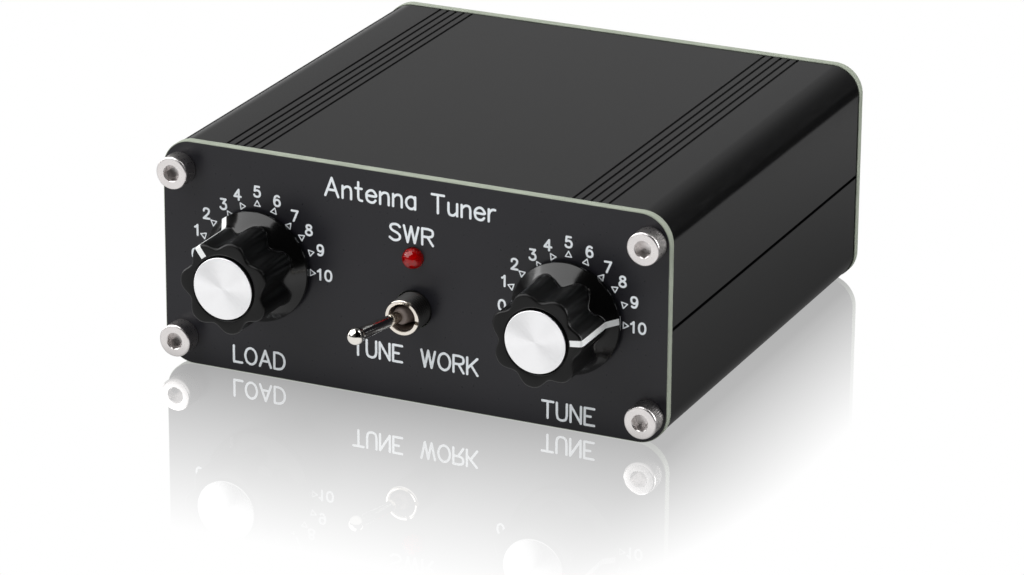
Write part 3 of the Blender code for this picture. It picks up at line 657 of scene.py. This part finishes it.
def make_screw(name, y, turn, socket_turn):
    """An M3 socket screw with soft edges: knurled if its head is a tall one."""
    centre = middle(name)
    low, high = low_high(name)
    head_r = (high.x - low.x) / 2 - 0.03
    top = max(abs(low.y), abs(high.y)) - abs(y)
    tall = top > TALL_HEAD
    edge = 0.32 if tall else 0.25
    band = top - 0.75 if tall else top - edge - 0.12
    knurl = 0.06 if tall else 0.0
    rings = [(SCREW_R - 0.2, -SCREW_LENGTH, 0.0), (SCREW_R, -SCREW_LENGTH + 0.2, 0.0),
             (SCREW_R, 0.0, 0.0), (head_r - 0.12, 0.0, 0.0), (head_r, 0.12, knurl),
             (head_r, band, knurl), (head_r, band + 0.08, 0.0)]
    rings += [(r, h, 0.0) for r, h in arc(head_r - edge, top - edge, edge, 0, 90, 8)]
    obj = make(name + "_steel",
               loft([ring(r, h, FLUTES * 4, FLUTES, depth) for r, h, depth in rings]), STEEL,
               (centre.x, y, centre.z), turn)
    across, depth = TALL_SOCKET if tall else LOW_SOCKET
    key = across / math.sqrt(3)
    cut(obj, prism(polygon(key, 6, socket_turn), top - depth, top + 1))
    chamfer = [(0, top - 0.12), (key - 0.16, top - 0.12), (key + 0.04, top + 0.08),
               (0, top + 0.08)]
    cut(obj, lathe(chamfer, 48))
    resharpen(obj, 30)
    piece(obj, "case", "stainless_steel", name)


def make_screws():
    for i, socket_turn in enumerate(SCREW_TURNS, 1):
        make_screw(f"front_screw_{i}", FRONT_Y, FRONT_TURN, socket_turn)
        make_screw(f"rear_screw_{i}", REAR_Y, REAR_TURN, socket_turn)


# ---- knobs

def wall_radius(angle, pointer):
    """The fluted wall's radius at an angle in radians; one lobe is at the pointer."""
    swing = 0.5 - 0.5 * math.cos(LOBES * (angle - math.radians(pointer)))
    return LOBE_R - (LOBE_R - VALLEY_R) * swing ** 1.35


def knob_profile(wall):
    """The outside of the knob at one angle, from the rim's foot to the cap's recess."""
    foot_r = 0.35
    cone_h = SKIRT_EDGE_H + (SKIRT_R - wall) * CONE_SLOPE
    top_r = 0.45
    points = [(SKIRT_R - 0.2, KNOB_FOOT), (SKIRT_R, KNOB_FOOT + 0.2)]
    points += [(SKIRT_R - RIM_R + RIM_R * math.cos(a), SKIRT_EDGE_H - 0.1 + RIM_R * math.sin(a))
               for a in (0.0, 0.17, 0.34, 0.51, 0.68)]
    start = points[-1][0] - 0.02
    for s in range(5):
        r = start + (wall + foot_r - start) * s / 4
        points.append((r, SKIRT_EDGE_H + (SKIRT_R - r) * CONE_SLOPE))
    points += [(wall + foot_r * 0.3, cone_h - foot_r * 0.12), (wall + 0.02, cone_h + 0.2),
               (wall, cone_h + 0.55), (wall, 7.0), (wall, KNOB_TOP - top_r - 0.4)]
    return points + arc(wall - top_r, KNOB_TOP - top_r, top_r, 0, 90, 5)


def make_knob(name, x, pointer):
    """A fluted phenolic knob with a skirt, an inlaid pointer and a spun cap."""
    steps = 48 * LOBES
    angles = [2 * math.pi * i / steps for i in range(steps)]
    outside = [knob_profile(wall_radius(a, pointer)) for a in angles]
    wall = [[(r * math.cos(a), r * math.sin(a), h) for a, (r, h) in zip(angles, level)]
            for level in zip(*outside)]
    recess = [(CAP_R + 0.55, KNOB_TOP), (CAP_R + 0.3, KNOB_TOP - 0.1),
              (CAP_R + 0.2, KNOB_TOP - 0.3), (CAP_R + 0.2, KNOB_TOP - 0.8), (0.8, KNOB_TOP - 0.8)]
    under = [(0.8, 10.4), (5.2, 10.4), (5.2, 2.2), (7.4, 2.0), (8.2, KNOB_FOOT)]
    loops = ([ring(radius, height, steps) for radius, height in under] + wall
             + [ring(radius, height, steps) for radius, height in recess])
    at = (x, FRONT_Y, MID_Z)
    knob = make(f"{name}_knob_body", loft(loops), KNOB, at, FRONT_TURN, sharp=50)
    cut(knob, radial_cylinder(GRUB_HOLE_R, 4.4, 9.0, pointer + 180, GRUB_HOLE_H))
    resharpen(knob, 50)
    piece(knob, f"{name}_control", "knob_plastic", f"{name}_knob")

    make_pointer(name, x, pointer)

    floor = KNOB_TOP - 0.65
    cap = lathe(rounded_profile([(0, floor), (CAP_R, floor), (CAP_R, CAP_TOP), (0, CAP_TOP)],
                                [0, 0.05, 0.16, 0], 5), 128)
    cap = make(f"{name}_cap_disc", cap, SPUN, at, FRONT_TURN)
    piece(cap, f"{name}_control", "cap_aluminium", f"{name}_knob_cap")


def make_pointer(name, x, pointer):
    """The white line from the cap, down a lobe and over the skirt, just proud of both."""
    across = 8
    proud = 0.03
    base = math.radians(pointer)
    rows = []
    levels = len(knob_profile(LOBE_R))
    for level in range(2, levels + 1):
        row = []
        for s in range(across + 1):
            offset = POINTER_W * (s / across - 0.5)
            if level == levels:
                r, h = CAP_R + 0.6, KNOB_TOP
            else:
                r, h = knob_profile(LOBE_R)[level]
                a = base + math.asin(offset / r)
                r, h = knob_profile(wall_radius(a, pointer))[level]
            a = base + math.asin(offset / r)
            row.append(Vector((r * math.cos(a), r * math.sin(a), h)))
        rows.append(row)
    bm = bmesh.new()
    grid = [[bm.verts.new(p) for p in row] for row in rows]
    for low, high in zip(grid, grid[1:]):
        for i in range(across):
            bm.faces.new((low[i], low[i + 1], high[i + 1], high[i]))
    line = make(f"{name}_pointer_line", bm, PAINT, (x, FRONT_Y, MID_Z), FRONT_TURN)
    thick = line.modifiers.new("Thickness", "SOLIDIFY")
    thick.thickness = 2 * proud * MM
    thick.offset = 0.0
    settle(line)
    resharpen(line, 40)
    piece(line, f"{name}_control", "print_white")


# ---- switch and lamp

LENS_R = 1.68


def thread(radius, low, high, pitch, depth):
    """Profile points of a row of thread crests, as rings, from low to high."""
    points = []
    h = low
    while h < high - pitch * 0.9:
        points += [(radius - depth, h), (radius - depth * 0.15, h + pitch * 0.35),
                   (radius, h + pitch * 0.5), (radius - depth * 0.15, h + pitch * 0.65)]
        h += pitch
    points.append((radius - depth, h))
    return points


def make_bushing():
    """The switch's threaded bushing, with two notches in its front edge."""
    low, high = low_high("switch_bushing")
    radius = (high.x - low.x) / 2
    top = BUSHING_TOP
    foot = FRONT_Y - high.y
    crests = thread(radius, foot + 0.3, top - 0.55, 0.6, 0.3)
    mouth = rounded_profile([(radius - 0.2, top - 0.5), (radius - 0.08, top - 0.35),
                             (radius - 0.08, top), (2.3, top), (2.12, top - 1.2),
                             (1.95, top - 2.2), (1.95, -0.5)],
                            [0, 0, 0.18, 0.1, 0.2, 0.1, 0], 4)
    profile = [(2.45, foot), (radius - 0.3, foot)] + crests + mouth
    profile += [(2.45, -2.5), (2.45, foot)]
    bushing = make("switch_bushing_thread", lathe(profile, 96), BUSHING, SWITCH_AT, FRONT_TURN,
                   sharp=30)
    for angle in (65, -10):
        notch = rounded_rectangle(radius - 0.05, 0, 1.3, 0.65, 0.1, 4)
        cut(bushing, moved(prism(notch, top - 0.7, top + 1),
                           Matrix.Rotation(math.radians(angle), 4, "Z")))
    resharpen(bushing, 30)
    piece(bushing, "case", "bright_nickel", "switch_bushing")


def make_lever():
    """Pivot ball, waisted stem and ball tip, along the lever's own Z from the pivot."""
    low, _ = low_high("switch_lever")
    lean = JOINTS["lever_throw"]["range_deg"][1] / 2
    tip_r = 1.4
    length = (LEVER_PIVOT[1] - low.y - tip_r) / math.cos(math.radians(lean))
    stem = [(0, -7.6), (0.6, -7.6), (0.8, -7.2), (0.8, -1.6), (0.8, 1.4), (0.86, 1.9),
            (0.9, 3.0), (0.92, 6.0), (0.98, 9.0), (1.02, length - 2.0), (1.0, length - 1.3)]
    stem += arc(0, length, tip_r, -42, 90, 18)[:-1] + [(0, length + tip_r)]
    turn = (math.pi / 2, 0, -math.radians(lean))
    lever = make("switch_lever_chrome", lathe(stem, 64), NICKEL, LEVER_PIVOT, turn, sharp=30)
    piece(lever, "lever", "bright_nickel", "switch_lever")
    # Pivot ball in dull brown: a painted reflection on the lever's nickel
    ball = arc(0, 0, 1.8, -62, 30, 20) + arc(0.9, 2.65, 0.55, 0, 80, 8) + [(0.85, 3.22)]
    ball += [(0.85, -1.5), ball[0]]
    ball = make("switch_pivot_ball", lathe(ball, 64), PIVOT, LEVER_PIVOT, turn, sharp=30)
    piece(ball, "lever", "bright_nickel")

    plate = lathe([(0, -1.9), (1.9, -1.9), (1.9, -1.55), (0.7, -1.35), (0, -1.35)], 48)
    plate = make("switch_inner_plate", plate, POST_BLACK, SWITCH_AT, FRONT_TURN)
    piece(plate, "case", "post_black")


def make_lamp():
    """A flanged lens that stands in its hole, around a solid core."""
    low, high = low_high("signal_lamp")
    top = FRONT_Y - low.y
    flange = (high.x - low.x) / 2
    profile = [(0, -4.2), (flange, -4.2), (flange, -2.1), (flange - 0.1, -2.0),
               (LENS_R, -2.0)]
    profile += arc(0, top - LENS_R, LENS_R, 0, 90, 20)[:-1] + [(0, top)]
    lens = make("signal_lamp_lens", lathe(profile, 64), LAMP_RED, LAMP_AT, FRONT_TURN,
                sharp=40)
    piece(lens, "case", "lamp_red", "signal_lamp")
    core = [(0, -2.8), (1.05, -2.8), (1.15, -0.4), (1.0, 0.1), (0.6, 0.45), (0, 0.6)]
    core = make("signal_lamp_core", lathe(core, 48), LAMP_CORE, LAMP_AT, FRONT_TURN)
    piece(core, "case", "lamp_red")


# ---- rear connectors

SOCKET_THREAD_R = 6.0
BARREL_R = 4.85
LUG_R = 1.0
NUT_ACROSS = 14.0


def make_socket(name):
    """A bayonet coaxial socket with two lugs, and its nut on the panel."""
    centre = middle(f"{name}_socket_body")
    top = low_high(f"{name}_socket_body")[1].y - REAR_Y
    crests = thread(SOCKET_THREAD_R, 0.1, 4.4, 0.8, 0.35)
    profile = [(2.6, -9.0), (5.5, -9.0), (5.5, -3.9), (7.1, -3.9), (7.1, -1.7), (5.9, -1.7),
               (5.9, 0.0)] + crests
    profile += rounded_profile([(5.6, 4.6), (BARREL_R, 4.75), (BARREL_R, top), (4.35, top),
                                (4.05, top - 0.4), (4.05, 5.5)],
                               [0, 0.15, 0.15, 0.1, 0.1, 0], 3)
    profile += [(2.6, 5.5), (2.6, -9.0)]
    at = (centre.x, REAR_Y, centre.z)
    body = make(f"{name}_socket_barrel", lathe(profile, 80), NICKEL, at, REAR_TURN, sharp=30)
    lugs = [radial_cylinder(LUG_R, BARREL_R - 0.4, BARREL_R + 0.7, angle, 9.3)
            for angle in (90, 270)]
    cut(body, merged(lugs), "UNION")
    resharpen(body, 30)
    piece(body, "case", "bright_nickel", f"{name}_socket_body")

    nut = prism(polygon(NUT_ACROSS / math.sqrt(3), 6, 30), 0.02, 2.4)
    nut = make(f"{name}_socket_hex", nut, NICKEL, at, REAR_TURN)
    cut(nut, prism(circle(0, 0, SOCKET_THREAD_R + 0.1, 64), -1, 4))
    cut(nut, lathe([(7.0, 2.9), (9.0, 2.9), (9.0, 1.75), (7.0, 2.9)], 80))
    resharpen(nut, 30)
    piece(nut, "case", "bright_nickel", f"{name}_socket_nut")


POST_FLUTES = 20


def make_post(name, plastic):
    """A binding post's fluted thumb nut and the collar under it."""
    centre = middle(f"{name}_post_stud")
    at = (centre.x, REAR_Y, centre.z)
    low, high = low_high(f"{name}_post_nut")
    foot = low.y - REAR_Y
    top = high.y - REAR_Y
    levels = [(4.3, 0, foot), (4.5, 0, foot + 0.2), (4.5, 0, foot + 1.6), (4.9, 0, foot + 2.0),
              (5.0, 0.28, foot + 2.4), (5.0, 0.28, top - 0.8), (4.85, 0.2, top - 0.25),
              (4.5, 0, top), (2.6, 0, top), (2.3, 0, top - 0.3), (2.3, 0, foot)]
    loops = [ring(radius, height, POST_FLUTES * 10, POST_FLUTES, depth, 3)
             for radius, depth, height in levels]
    nut = make(f"{name}_post_thumb_nut", loft(loops, closed_loops=True), plastic, at,
               REAR_TURN, sharp=45)
    piece(nut, f"{name}_nut", f"post_{name}", f"{name}_post_nut")

    collar = lathe([(2.3, -1.6), (3.0, -1.6), (3.0, 0.02), (5.1, 0.02), (5.2, 0.12), (5.2, 3.6),
                    (4.9, 4.0), (2.3, 4.0), (2.3, -1.6)], 80)
    collar = make(f"{name}_post_base", collar, plastic, at, REAR_TURN)
    piece(collar, "case", f"post_{name}", f"{name}_post_collar")


# ---- print

# Strokes of each character on a grid 100 high: "l" joins points, "c" curves through them,
# "o" is a closed curve. The second item is the character's width.
GLYPHS = {
    "0": ([("o", [(32, 100), (8, 86), (0, 50), (8, 14), (32, 0), (56, 14), (64, 50),
          (56, 86)])], 64),
    "1": ([("l", [(0, 78), (12, 84), (26, 100), (26, 0)])], 36),
    "2": ([("c", [(3, 74), (8, 92), (30, 100), (54, 92), (58, 72), (46, 46), (2, 0)]),
          ("l", [(2, 0), (62, 0)])], 62),
    "3": ([("l", [(6, 100), (56, 100), (28, 60)]), ("c", [(28, 60), (50, 56), (61, 34), (54, 10),
          (30, 0), (8, 6), (0, 18)])], 62),
    "4": ([("l", [(46, 0), (46, 100), (0, 32), (68, 32)])], 68),
    "5": ([("l", [(52, 100), (10, 100), (5, 56)]), ("c", [(5, 56), (28, 64), (52, 56), (61, 32),
          (52, 8), (28, 0), (7, 6), (0, 18)])], 61),
    "6": ([("c", [(53, 92), (36, 100), (14, 90), (3, 60), (3, 28), (14, 6), (34, 0), (54, 8),
          (61, 30), (52, 54), (33, 62), (13, 54), (3, 32)])], 62),
    "7": ([("l", [(0, 100), (62, 100), (20, 0)])], 62),
    "8": ([("o", [(31, 100), (11, 92), (7, 76), (20, 60), (44, 50), (60, 34), (58, 12), (31, 0),
          (4, 12), (2, 34), (18, 50), (42, 60), (55, 76), (51, 92)])], 62),
    "9": ([("c", [(58, 68), (48, 46), (28, 38), (8, 46), (0, 70), (7, 92), (27, 100), (47, 94),
          (58, 72), (58, 40), (47, 10), (25, 0), (8, 8)])], 60),
    "A": ([("l", [(0, 0), (38, 100), (76, 0)]), ("l", [(14, 34), (62, 34)])], 76),
    "D": ([("c", [(0, 100), (30, 100), (54, 90), (68, 66), (68, 34), (54, 10), (30, 0), (0, 0)]),
          ("l", [(0, 0), (0, 100)])], 68),
    "E": ([("l", [(60, 0), (0, 0), (0, 100), (60, 100)]), ("l", [(0, 52), (38, 52)])], 60),
    "K": ([("l", [(0, 0), (0, 100)]), ("l", [(66, 100), (0, 34)]), ("l", [(24, 58), (68, 0)])], 68),
    "L": ([("l", [(0, 100), (0, 0), (56, 0)])], 56),
    "N": ([("l", [(0, 0), (0, 100), (66, 0), (66, 100)])], 66),
    "O": ([("o", [(37, 100), (12, 88), (0, 62), (0, 38), (12, 12), (37, 0), (62, 12), (74, 38),
          (74, 62), (62, 88)])], 74),
    "R": ([("l", [(0, 0), (0, 100), (38, 100)]), ("c", [(38, 100), (60, 93), (66, 76), (60, 58),
          (38, 50)]), ("l", [(38, 50), (0, 50)]), ("l", [(32, 50), (66, 0)])], 66),
    "S": ([("c", [(62, 86), (50, 97), (31, 100), (10, 93), (4, 76), (16, 60), (46, 47), (62, 32),
          (60, 12), (42, 1), (20, 1), (0, 14)])], 64),
    "T": ([("l", [(0, 100), (70, 100)]), ("l", [(35, 100), (35, 0)])], 70),
    "U": ([("l", [(0, 100), (0, 34)]), ("c", [(0, 34), (6, 10), (22, 0), (42, 0), (58, 10),
          (64, 34)]), ("l", [(64, 34), (64, 100)])], 64),
    "W": ([("l", [(0, 100), (23, 0), (45, 100), (67, 0), (90, 100)])], 90),
    "a": ([("c", [(52, 50), (40, 64), (20, 64), (4, 50), (0, 32), (6, 12), (22, 0), (40, 2),
          (52, 15)]), ("l", [(52, 66), (52, 0)])], 52),
    "e": ([("c", [(0, 36), (54, 36), (50, 54), (36, 66), (18, 64), (3, 50), (0, 32), (6, 10),
          (24, 0), (42, 2), (53, 13)])], 54),
    "n": ([("l", [(0, 0), (0, 66)]), ("c", [(0, 46), (16, 62), (32, 66), (45, 60), (50, 42)]),
          ("l", [(50, 42), (50, 0)])], 50),
    "r": ([("l", [(0, 0), (0, 66)]), ("c", [(0, 38), (8, 56), (22, 66), (36, 66)])], 36),
    "t": ([("l", [(16, 100), (16, 20)]), ("c", [(16, 20), (21, 4), (38, 0)]), ("l", [(0, 66),
          (36, 66)])], 38),
    "u": ([("l", [(0, 66), (0, 22)]), ("c", [(0, 22), (6, 5), (20, 0), (34, 4), (50, 20)]),
          ("l", [(50, 66), (50, 0)])], 50),
    " ": ([], 45),
}


def glyph_lines(text, height, spacing, widen=1.0):
    """Lines of a text in millimetres, with its left end at 0 and its base at 0."""
    tall = height / 100
    wide = tall * widen
    lines = []
    x = 0.0
    for character in text:
        strokes, width = GLYPHS[character]
        for kind, points in strokes:
            places = [(x + px * wide, py * tall) for px, py in points]
            if kind == "l":
                lines.append(([Vector(p) for p in places], False))
            else:
                lines.append((smooth(places, kind == "o"), kind == "o"))
        x += (width + spacing) * wide
    return lines, x - spacing * wide


INK_LOW = -0.02
INK_HIGH = 0.022
PEN_TURN = math.radians(4)     # a bend sharper than this gets a round joint
WORD_STROKE = 0.41
DIAL_STROKE = 0.36
FINE_STROKE = 0.2
DIAL_H = 1.7
MARK_R = 0.6
LOAD_DIAL_SHIFT = 0.15         # the LOAD dial is printed a little left of its shaft


def stroke_cells(line, closed, width):
    """Overlapping cells that cover a line drawn with a round pen."""
    half = width / 2
    count = len(line)
    cells = []
    for i in range(count if closed else count - 1):
        start, end = line[i], line[(i + 1) % count]
        along = (end - start).normalized() * half
        side = Vector((-along.y, along.x))
        cells.append([start + side, start - side, end - side, end + side])
    for i, point in enumerate(line):
        inner = closed or 0 < i < count - 1
        if inner:
            turn = (point - line[i - 1]).angle(line[(i + 1) % count] - point)
        if not inner or turn > PEN_TURN:
            cells.append([point + Vector(p) for p in circle(0, 0, half, 16)])
    return cells


def slab(cells, low, high):
    """A flat body over overlapping cells, which are first joined into one outline."""
    corners = [corner for cell in cells for corner in cell]
    faces = []
    for cell in cells:
        first = faces[-1][-1] + 1 if faces else 0
        faces.append(list(range(first, first + len(cell))))
    points, _, triangles, _, _, sources = delaunay_2d_cdt(corners, [], faces, 1, 1e-4)
    bm = bmesh.new()
    verts = [bm.verts.new((*point, low)) for point in points]
    for triangle, inside in zip(triangles, sources):
        if inside:
            bm.faces.new([verts[i] for i in triangle])
    loose = [vert for vert in bm.verts if not vert.link_faces]
    bmesh.ops.delete(bm, geom=loose, context="VERTS")
    raised = bmesh.ops.extrude_face_region(bm, geom=bm.faces[:])["geom"]
    tops = [v for v in raised if isinstance(v, bmesh.types.BMVert)]
    bmesh.ops.translate(bm, verts=tops, vec=(0, 0, high - low))
    return bm


def print_lines(name, lines, width, x, z):
    """White print on the front panel: raised strokes along lines drawn from x and z."""
    cells = []
    for line, closed in lines:
        cells += stroke_cells([p + Vector((x, z)) for p in line], closed, width)
    obj = make(name, slab(cells, INK_LOW, INK_HIGH), INK, (0, FRONT_Y, 0), FRONT_TURN, sharp=60)
    piece(obj, "case", "print_white")


def print_text(name, text, left, right, base, height, spacing):
    """Text whose strokes' outer ends reach from left to right."""
    _, natural = glyph_lines(text, height, spacing)
    widen = (right - left - WORD_STROKE) / natural
    lines, _ = glyph_lines(text, height, spacing, widen)
    print_lines(name, lines, WORD_STROKE, left + WORD_STROKE / 2, base)


# Each number of a dial, the place of its middle and of its mark from the knob's axis, and
# the way the mark points
DIAL = (
    ("0", (-11.25, 0.04), (-9.7, 0.1), 180),
    ("1", (-10.94, 4.15), (-9.66, 3.43), 162),
    ("2", (-9.15, 7.22), (-7.86, 5.87), 144),
    ("3", (-6.06, 9.26), (-5.0, 7.75), 126),
    ("4", (-3.48, 11.27), (-2.67, 9.45), 126),
    ("5", (0.03, 12.29), (0.03, 10.19), 90),
    ("6", (3.56, 11.27), (3.0, 9.43), 74),
    ("7", (6.69, 9.24), (5.63, 7.4), 52),
    ("8", (9.19, 7.23), (7.9, 5.83), 34),
    ("9", (11.2, 4.15), (9.5, 3.46), 18),
    ("10", (11.92, 0.04), (9.7, 0.1), 0),
)


def print_dial(name, centre_x):
    """Numbers 0 to 10 around a knob, each with a small outline triangle, and a painted rim
    highlight.
    """
    numbers = []
    marks = []
    for number, place, mark, way in DIAL:
        lines, width = glyph_lines(number, DIAL_H, 42)
        corner = Vector(place) - Vector((width, DIAL_H)) / 2
        numbers += [([p + corner for p in line], closed) for line, closed in lines]
        corners = [Vector(mark) + Vector(p) for p in polygon(MARK_R, 3, way)]
        marks.append((corners, True))
    # A thin white arc just past the skirt's rim beside 10: a painted highlight of the rim, printed
    # in ink
    painted_rim_highlight = [Vector(p) for p in arc(-0.25, 0, 9.15, -5, 9, 6)]
    for part, lines, stroke in (("numbers", numbers, DIAL_STROKE), ("marks", marks, FINE_STROKE),
                                ("painted_rim_highlight", [(painted_rim_highlight, False)], FINE_STROKE)):
        print_lines(f"{name}_dial_{part}", lines, stroke, centre_x, MID_Z)


# Name, text, left and right end, base line, height and spacing of each word on the panel
WORDS = (
    ("title", "Antenna Tuner", -15.2, 14.7, 32.6, 3.0, 26),
    ("swr", "SWR", -3.9, 4.0, 26.98, 2.66, 24),
    ("switch_left", "TUNE", -10.5, -1.4, 6.5, 2.75, 24),
    ("switch_right", "WORK", 1.6, 11.8, 6.45, 2.8, 24),
    ("load", "LOAD", -31.9, -22.4, 1.6, 2.75, 24),
    ("tune", "TUNE", 22.6, 31.9, 1.45, 2.8, 24),
)


def make_print():
    for name, *word in WORDS:
        print_text(f"{name}_print", *word)
    print_dial("load", LOAD_X - LOAD_DIAL_SHIFT)
    print_dial("tune", TUNE_X)


# ---- carried-over pieces

CARRIED = {
    "knob_insert": BRASS, "grub_screw": STEEL, "capacitor_screw": STEEL,
    "capacitor_case": MILKY, "capacitor_rotor": PLATES, "capacitor_stator": PLATES,
    "lamp_lead": TINNED, "switch_case": BASE_BLUE, "switch_nut": NICKEL,
    "main_board": BOARD, "transformer_core": IRON, "bridge_core": FERRITE,
    "winding": COPPER, "bridge_resistor": RESISTOR, "bridge_diode": GLASS,
    "socket_insulator": TEFLON, "socket_contact": GOLD, "post_stud": NICKEL,
}


def dress_carried_pieces():
    """Give each CAD piece that stays its own procedural material."""
    for name, node in frame["nodes"].items():
        for part, mat in CARRIED.items():
            if part in name:
                node.data.materials.clear()
                node.data.materials.append(mat)


# ---- stage

TABLE_HALF = 6000.0
MIRROR_SIDE = 23.0             # how far the table's mirror reaches past the object
MIRROR_FRONT = 60.0


def make_floor():
    """A glowing white table top that mirrors the object, less so further from it."""
    bm = bmesh.new()
    bmesh.ops.create_grid(bm, x_segments=1, y_segments=1, size=TABLE_HALF)
    mat, net = new_material("white_floor")
    x, y, _ = net.axes(net.add("ShaderNodeTexCoord", {}).outputs["Object"])

    def outside(coordinate, half, reach):
        """How far a point lies outside the footprint, in units of the mirror's reach."""
        past = net.maths("SUBTRACT", net.maths("ABSOLUTE", coordinate), half * MM)
        scaled = net.maths("DIVIDE", net.maths("MAXIMUM", past), reach * MM)
        return net.maths("POWER", scaled, 2.0)

    away = net.maths("SQRT", net.maths("ADD", outside(x, PANEL_W / 2, MIRROR_SIDE),
                                       outside(y, -FRONT_Y, MIRROR_FRONT)))
    fade = net.ramp(away, 1.0, 0.0, 0.0, 1.0)
    facing = net.add("ShaderNodeLayerWeight", {"Blend": 0.5}).outputs["Facing"]
    graze = net.ramp(facing, 0.0, 1.0, 0.2, 0.75)
    sideways = net.ramp(x, 0.8, 0.68, -0.01, 0.045)
    strength = net.maths("MULTIPLY", net.maths("MULTIPLY", fade, graze), sideways)

    # White to the camera. In reflections the table is bright to the front and left, and
    # elsewhere it is dim: dimmest beside the object as a painted contact shadow, less so at
    # some distance, and dark further away.
    front = net.ramp(y, 1.0, 0.0, -0.055, -0.03)
    slanted = net.maths("ADD", x, net.maths("MULTIPLY", y, 1.5))
    left = net.ramp(slanted, 1.0, 0.0, -0.03, 0.03)
    # Dimmest at the object: a painted contact shadow, seen in reflections
    dim = net.greys(net.maths("DIVIDE", away, 5.0),
                    ((0.0, 0.14), (0.35, 0.35), (0.44, 0.37), (0.54, 0.02)))
    reflected = net.maths("MAXIMUM", net.maths("MULTIPLY", front, left), dim)
    camera = net.add("ShaderNodeLightPath", {}).outputs["Is Camera Ray"]
    glow = net.add("ShaderNodeEmission", {"Strength": net.maths("MAXIMUM", reflected, camera)})
    mirror = net.add("ShaderNodeBsdfGlossy", {"Color": (1, 1, 1, 1), "Roughness": 0.0})
    mix = net.add("ShaderNodeMixShader", {"Fac": net.maths("MULTIPLY", strength, camera),
                                          1: glow.outputs["Emission"],
                                          2: mirror.outputs["BSDF"]})
    net.add("ShaderNodeOutputMaterial", {"Surface": mix.outputs["Shader"]})
    make("white_table", bm, mat)


def make_world():
    """A dark studio with a bright low horizon behind and to the left. It is white to the
    camera, also by way of the table's mirror."""
    world = bpy.data.worlds.new("studio")
    bpy.context.scene.world = world
    net = Net(world)
    x, y, z = net.axes(net.add("ShaderNodeTexCoord", {}).outputs["Generated"])
    height = net.greys(z, ((0.0, 0.8), (0.15, 0.5), (0.35, 0.32), (0.58, 0.34), (0.8, 0.04)))
    behind = net.ramp(y, 0.2, 1.0, -0.3, 0.25)
    leftward = net.ramp(x, 1.0, 0.02, -0.1, 0.5)
    dimmed = net.maths("MULTIPLY", net.maths("MULTIPLY", behind, leftward), height)
    path = net.add("ShaderNodeLightPath", {})
    seen = net.maths("MAXIMUM", path.outputs["Is Camera Ray"], path.outputs["Is Singular Ray"])
    back = net.add("ShaderNodeBackground", {"Color": (1, 1, 1, 1),
                                            "Strength": net.maths("MAXIMUM", dimmed, seen)})
    net.add("ShaderNodeOutputWorld", {"Surface": back.outputs["Background"]})


def make_softbox(name, direction, distance, width, height, radiance):
    """A rectangular light of an even radiance, aimed at the object."""
    light = bpy.data.lights.new(name, "AREA")
    light.shape = "RECTANGLE"
    light.size = width
    light.size_y = height
    light.energy = radiance * math.pi * width * height
    obj = bpy.data.objects.new(name, light)
    place = Vector(direction).normalized() * distance
    obj.location = place
    obj.rotation_euler = place.to_track_quat("Z", "Y").to_euler()
    bpy.context.scene.collection.objects.link(obj)


# Name, direction, then distance, width and height in metres, and radiance
SOFTBOXES = (
    ("key", (-0.54, -0.33, 0.78), 1.0, 1.3, 1.3, 3.0),
    ("edge", (0.85, 0.45, 0.3), 0.9, 0.5, 0.5, 6.0),
    ("rim", (0.63, 0.44, 0.64), 0.9, 0.35, 0.85, 2.5),
    ("left", (-0.95, 0.15, 0.25), 1.0, 0.8, 0.8, 2.0),
)


# ---- camera

CAMERA_AZIMUTH = 24.4523
CAMERA_ELEVATION = 20.5772
CAMERA_ROLL = 0.3829
CAMERA_DISTANCE = 807.95
CAMERA_TARGET = (-1.4582, 0.0, 5.1028)
CAMERA_LENS = 171.18


def make_camera():
    """A camera in front, to the right and above, at a distance from its target."""
    turn = (Matrix.Rotation(math.radians(CAMERA_AZIMUTH), 4, "Z")
            @ Matrix.Rotation(math.radians(90 - CAMERA_ELEVATION), 4, "X")
            @ Matrix.Rotation(math.radians(CAMERA_ROLL), 4, "Z"))
    data = bpy.data.cameras.new("camera")
    data.lens = CAMERA_LENS
    data.sensor_width = 36.0
    data.clip_end = 20.0
    camera = bpy.data.objects.new("camera", data)
    camera.matrix_world = (Matrix.Translation(Vector(CAMERA_TARGET) * MM) @ turn
                           @ Matrix.Translation((0, 0, CAMERA_DISTANCE * MM)))
    bpy.context.scene.collection.objects.link(camera)
    bpy.context.scene.camera = camera


make_camera()
make_floor()
make_world()
for softbox in SOFTBOXES:
    make_softbox(*softbox)
make_shells()
make_panels()
make_screws()
make_knob("load", LOAD_X, LOAD_POINTER)
make_knob("tune", TUNE_X, TUNE_POINTER)
make_bushing()
make_lever()
make_lamp()
make_socket("radio")
make_socket("antenna")
make_post("red", POST_RED)
make_post("black", POST_BLACK)
make_print()
dress_carried_pieces()

bpy.context.scene.view_settings.view_transform = "Standard"
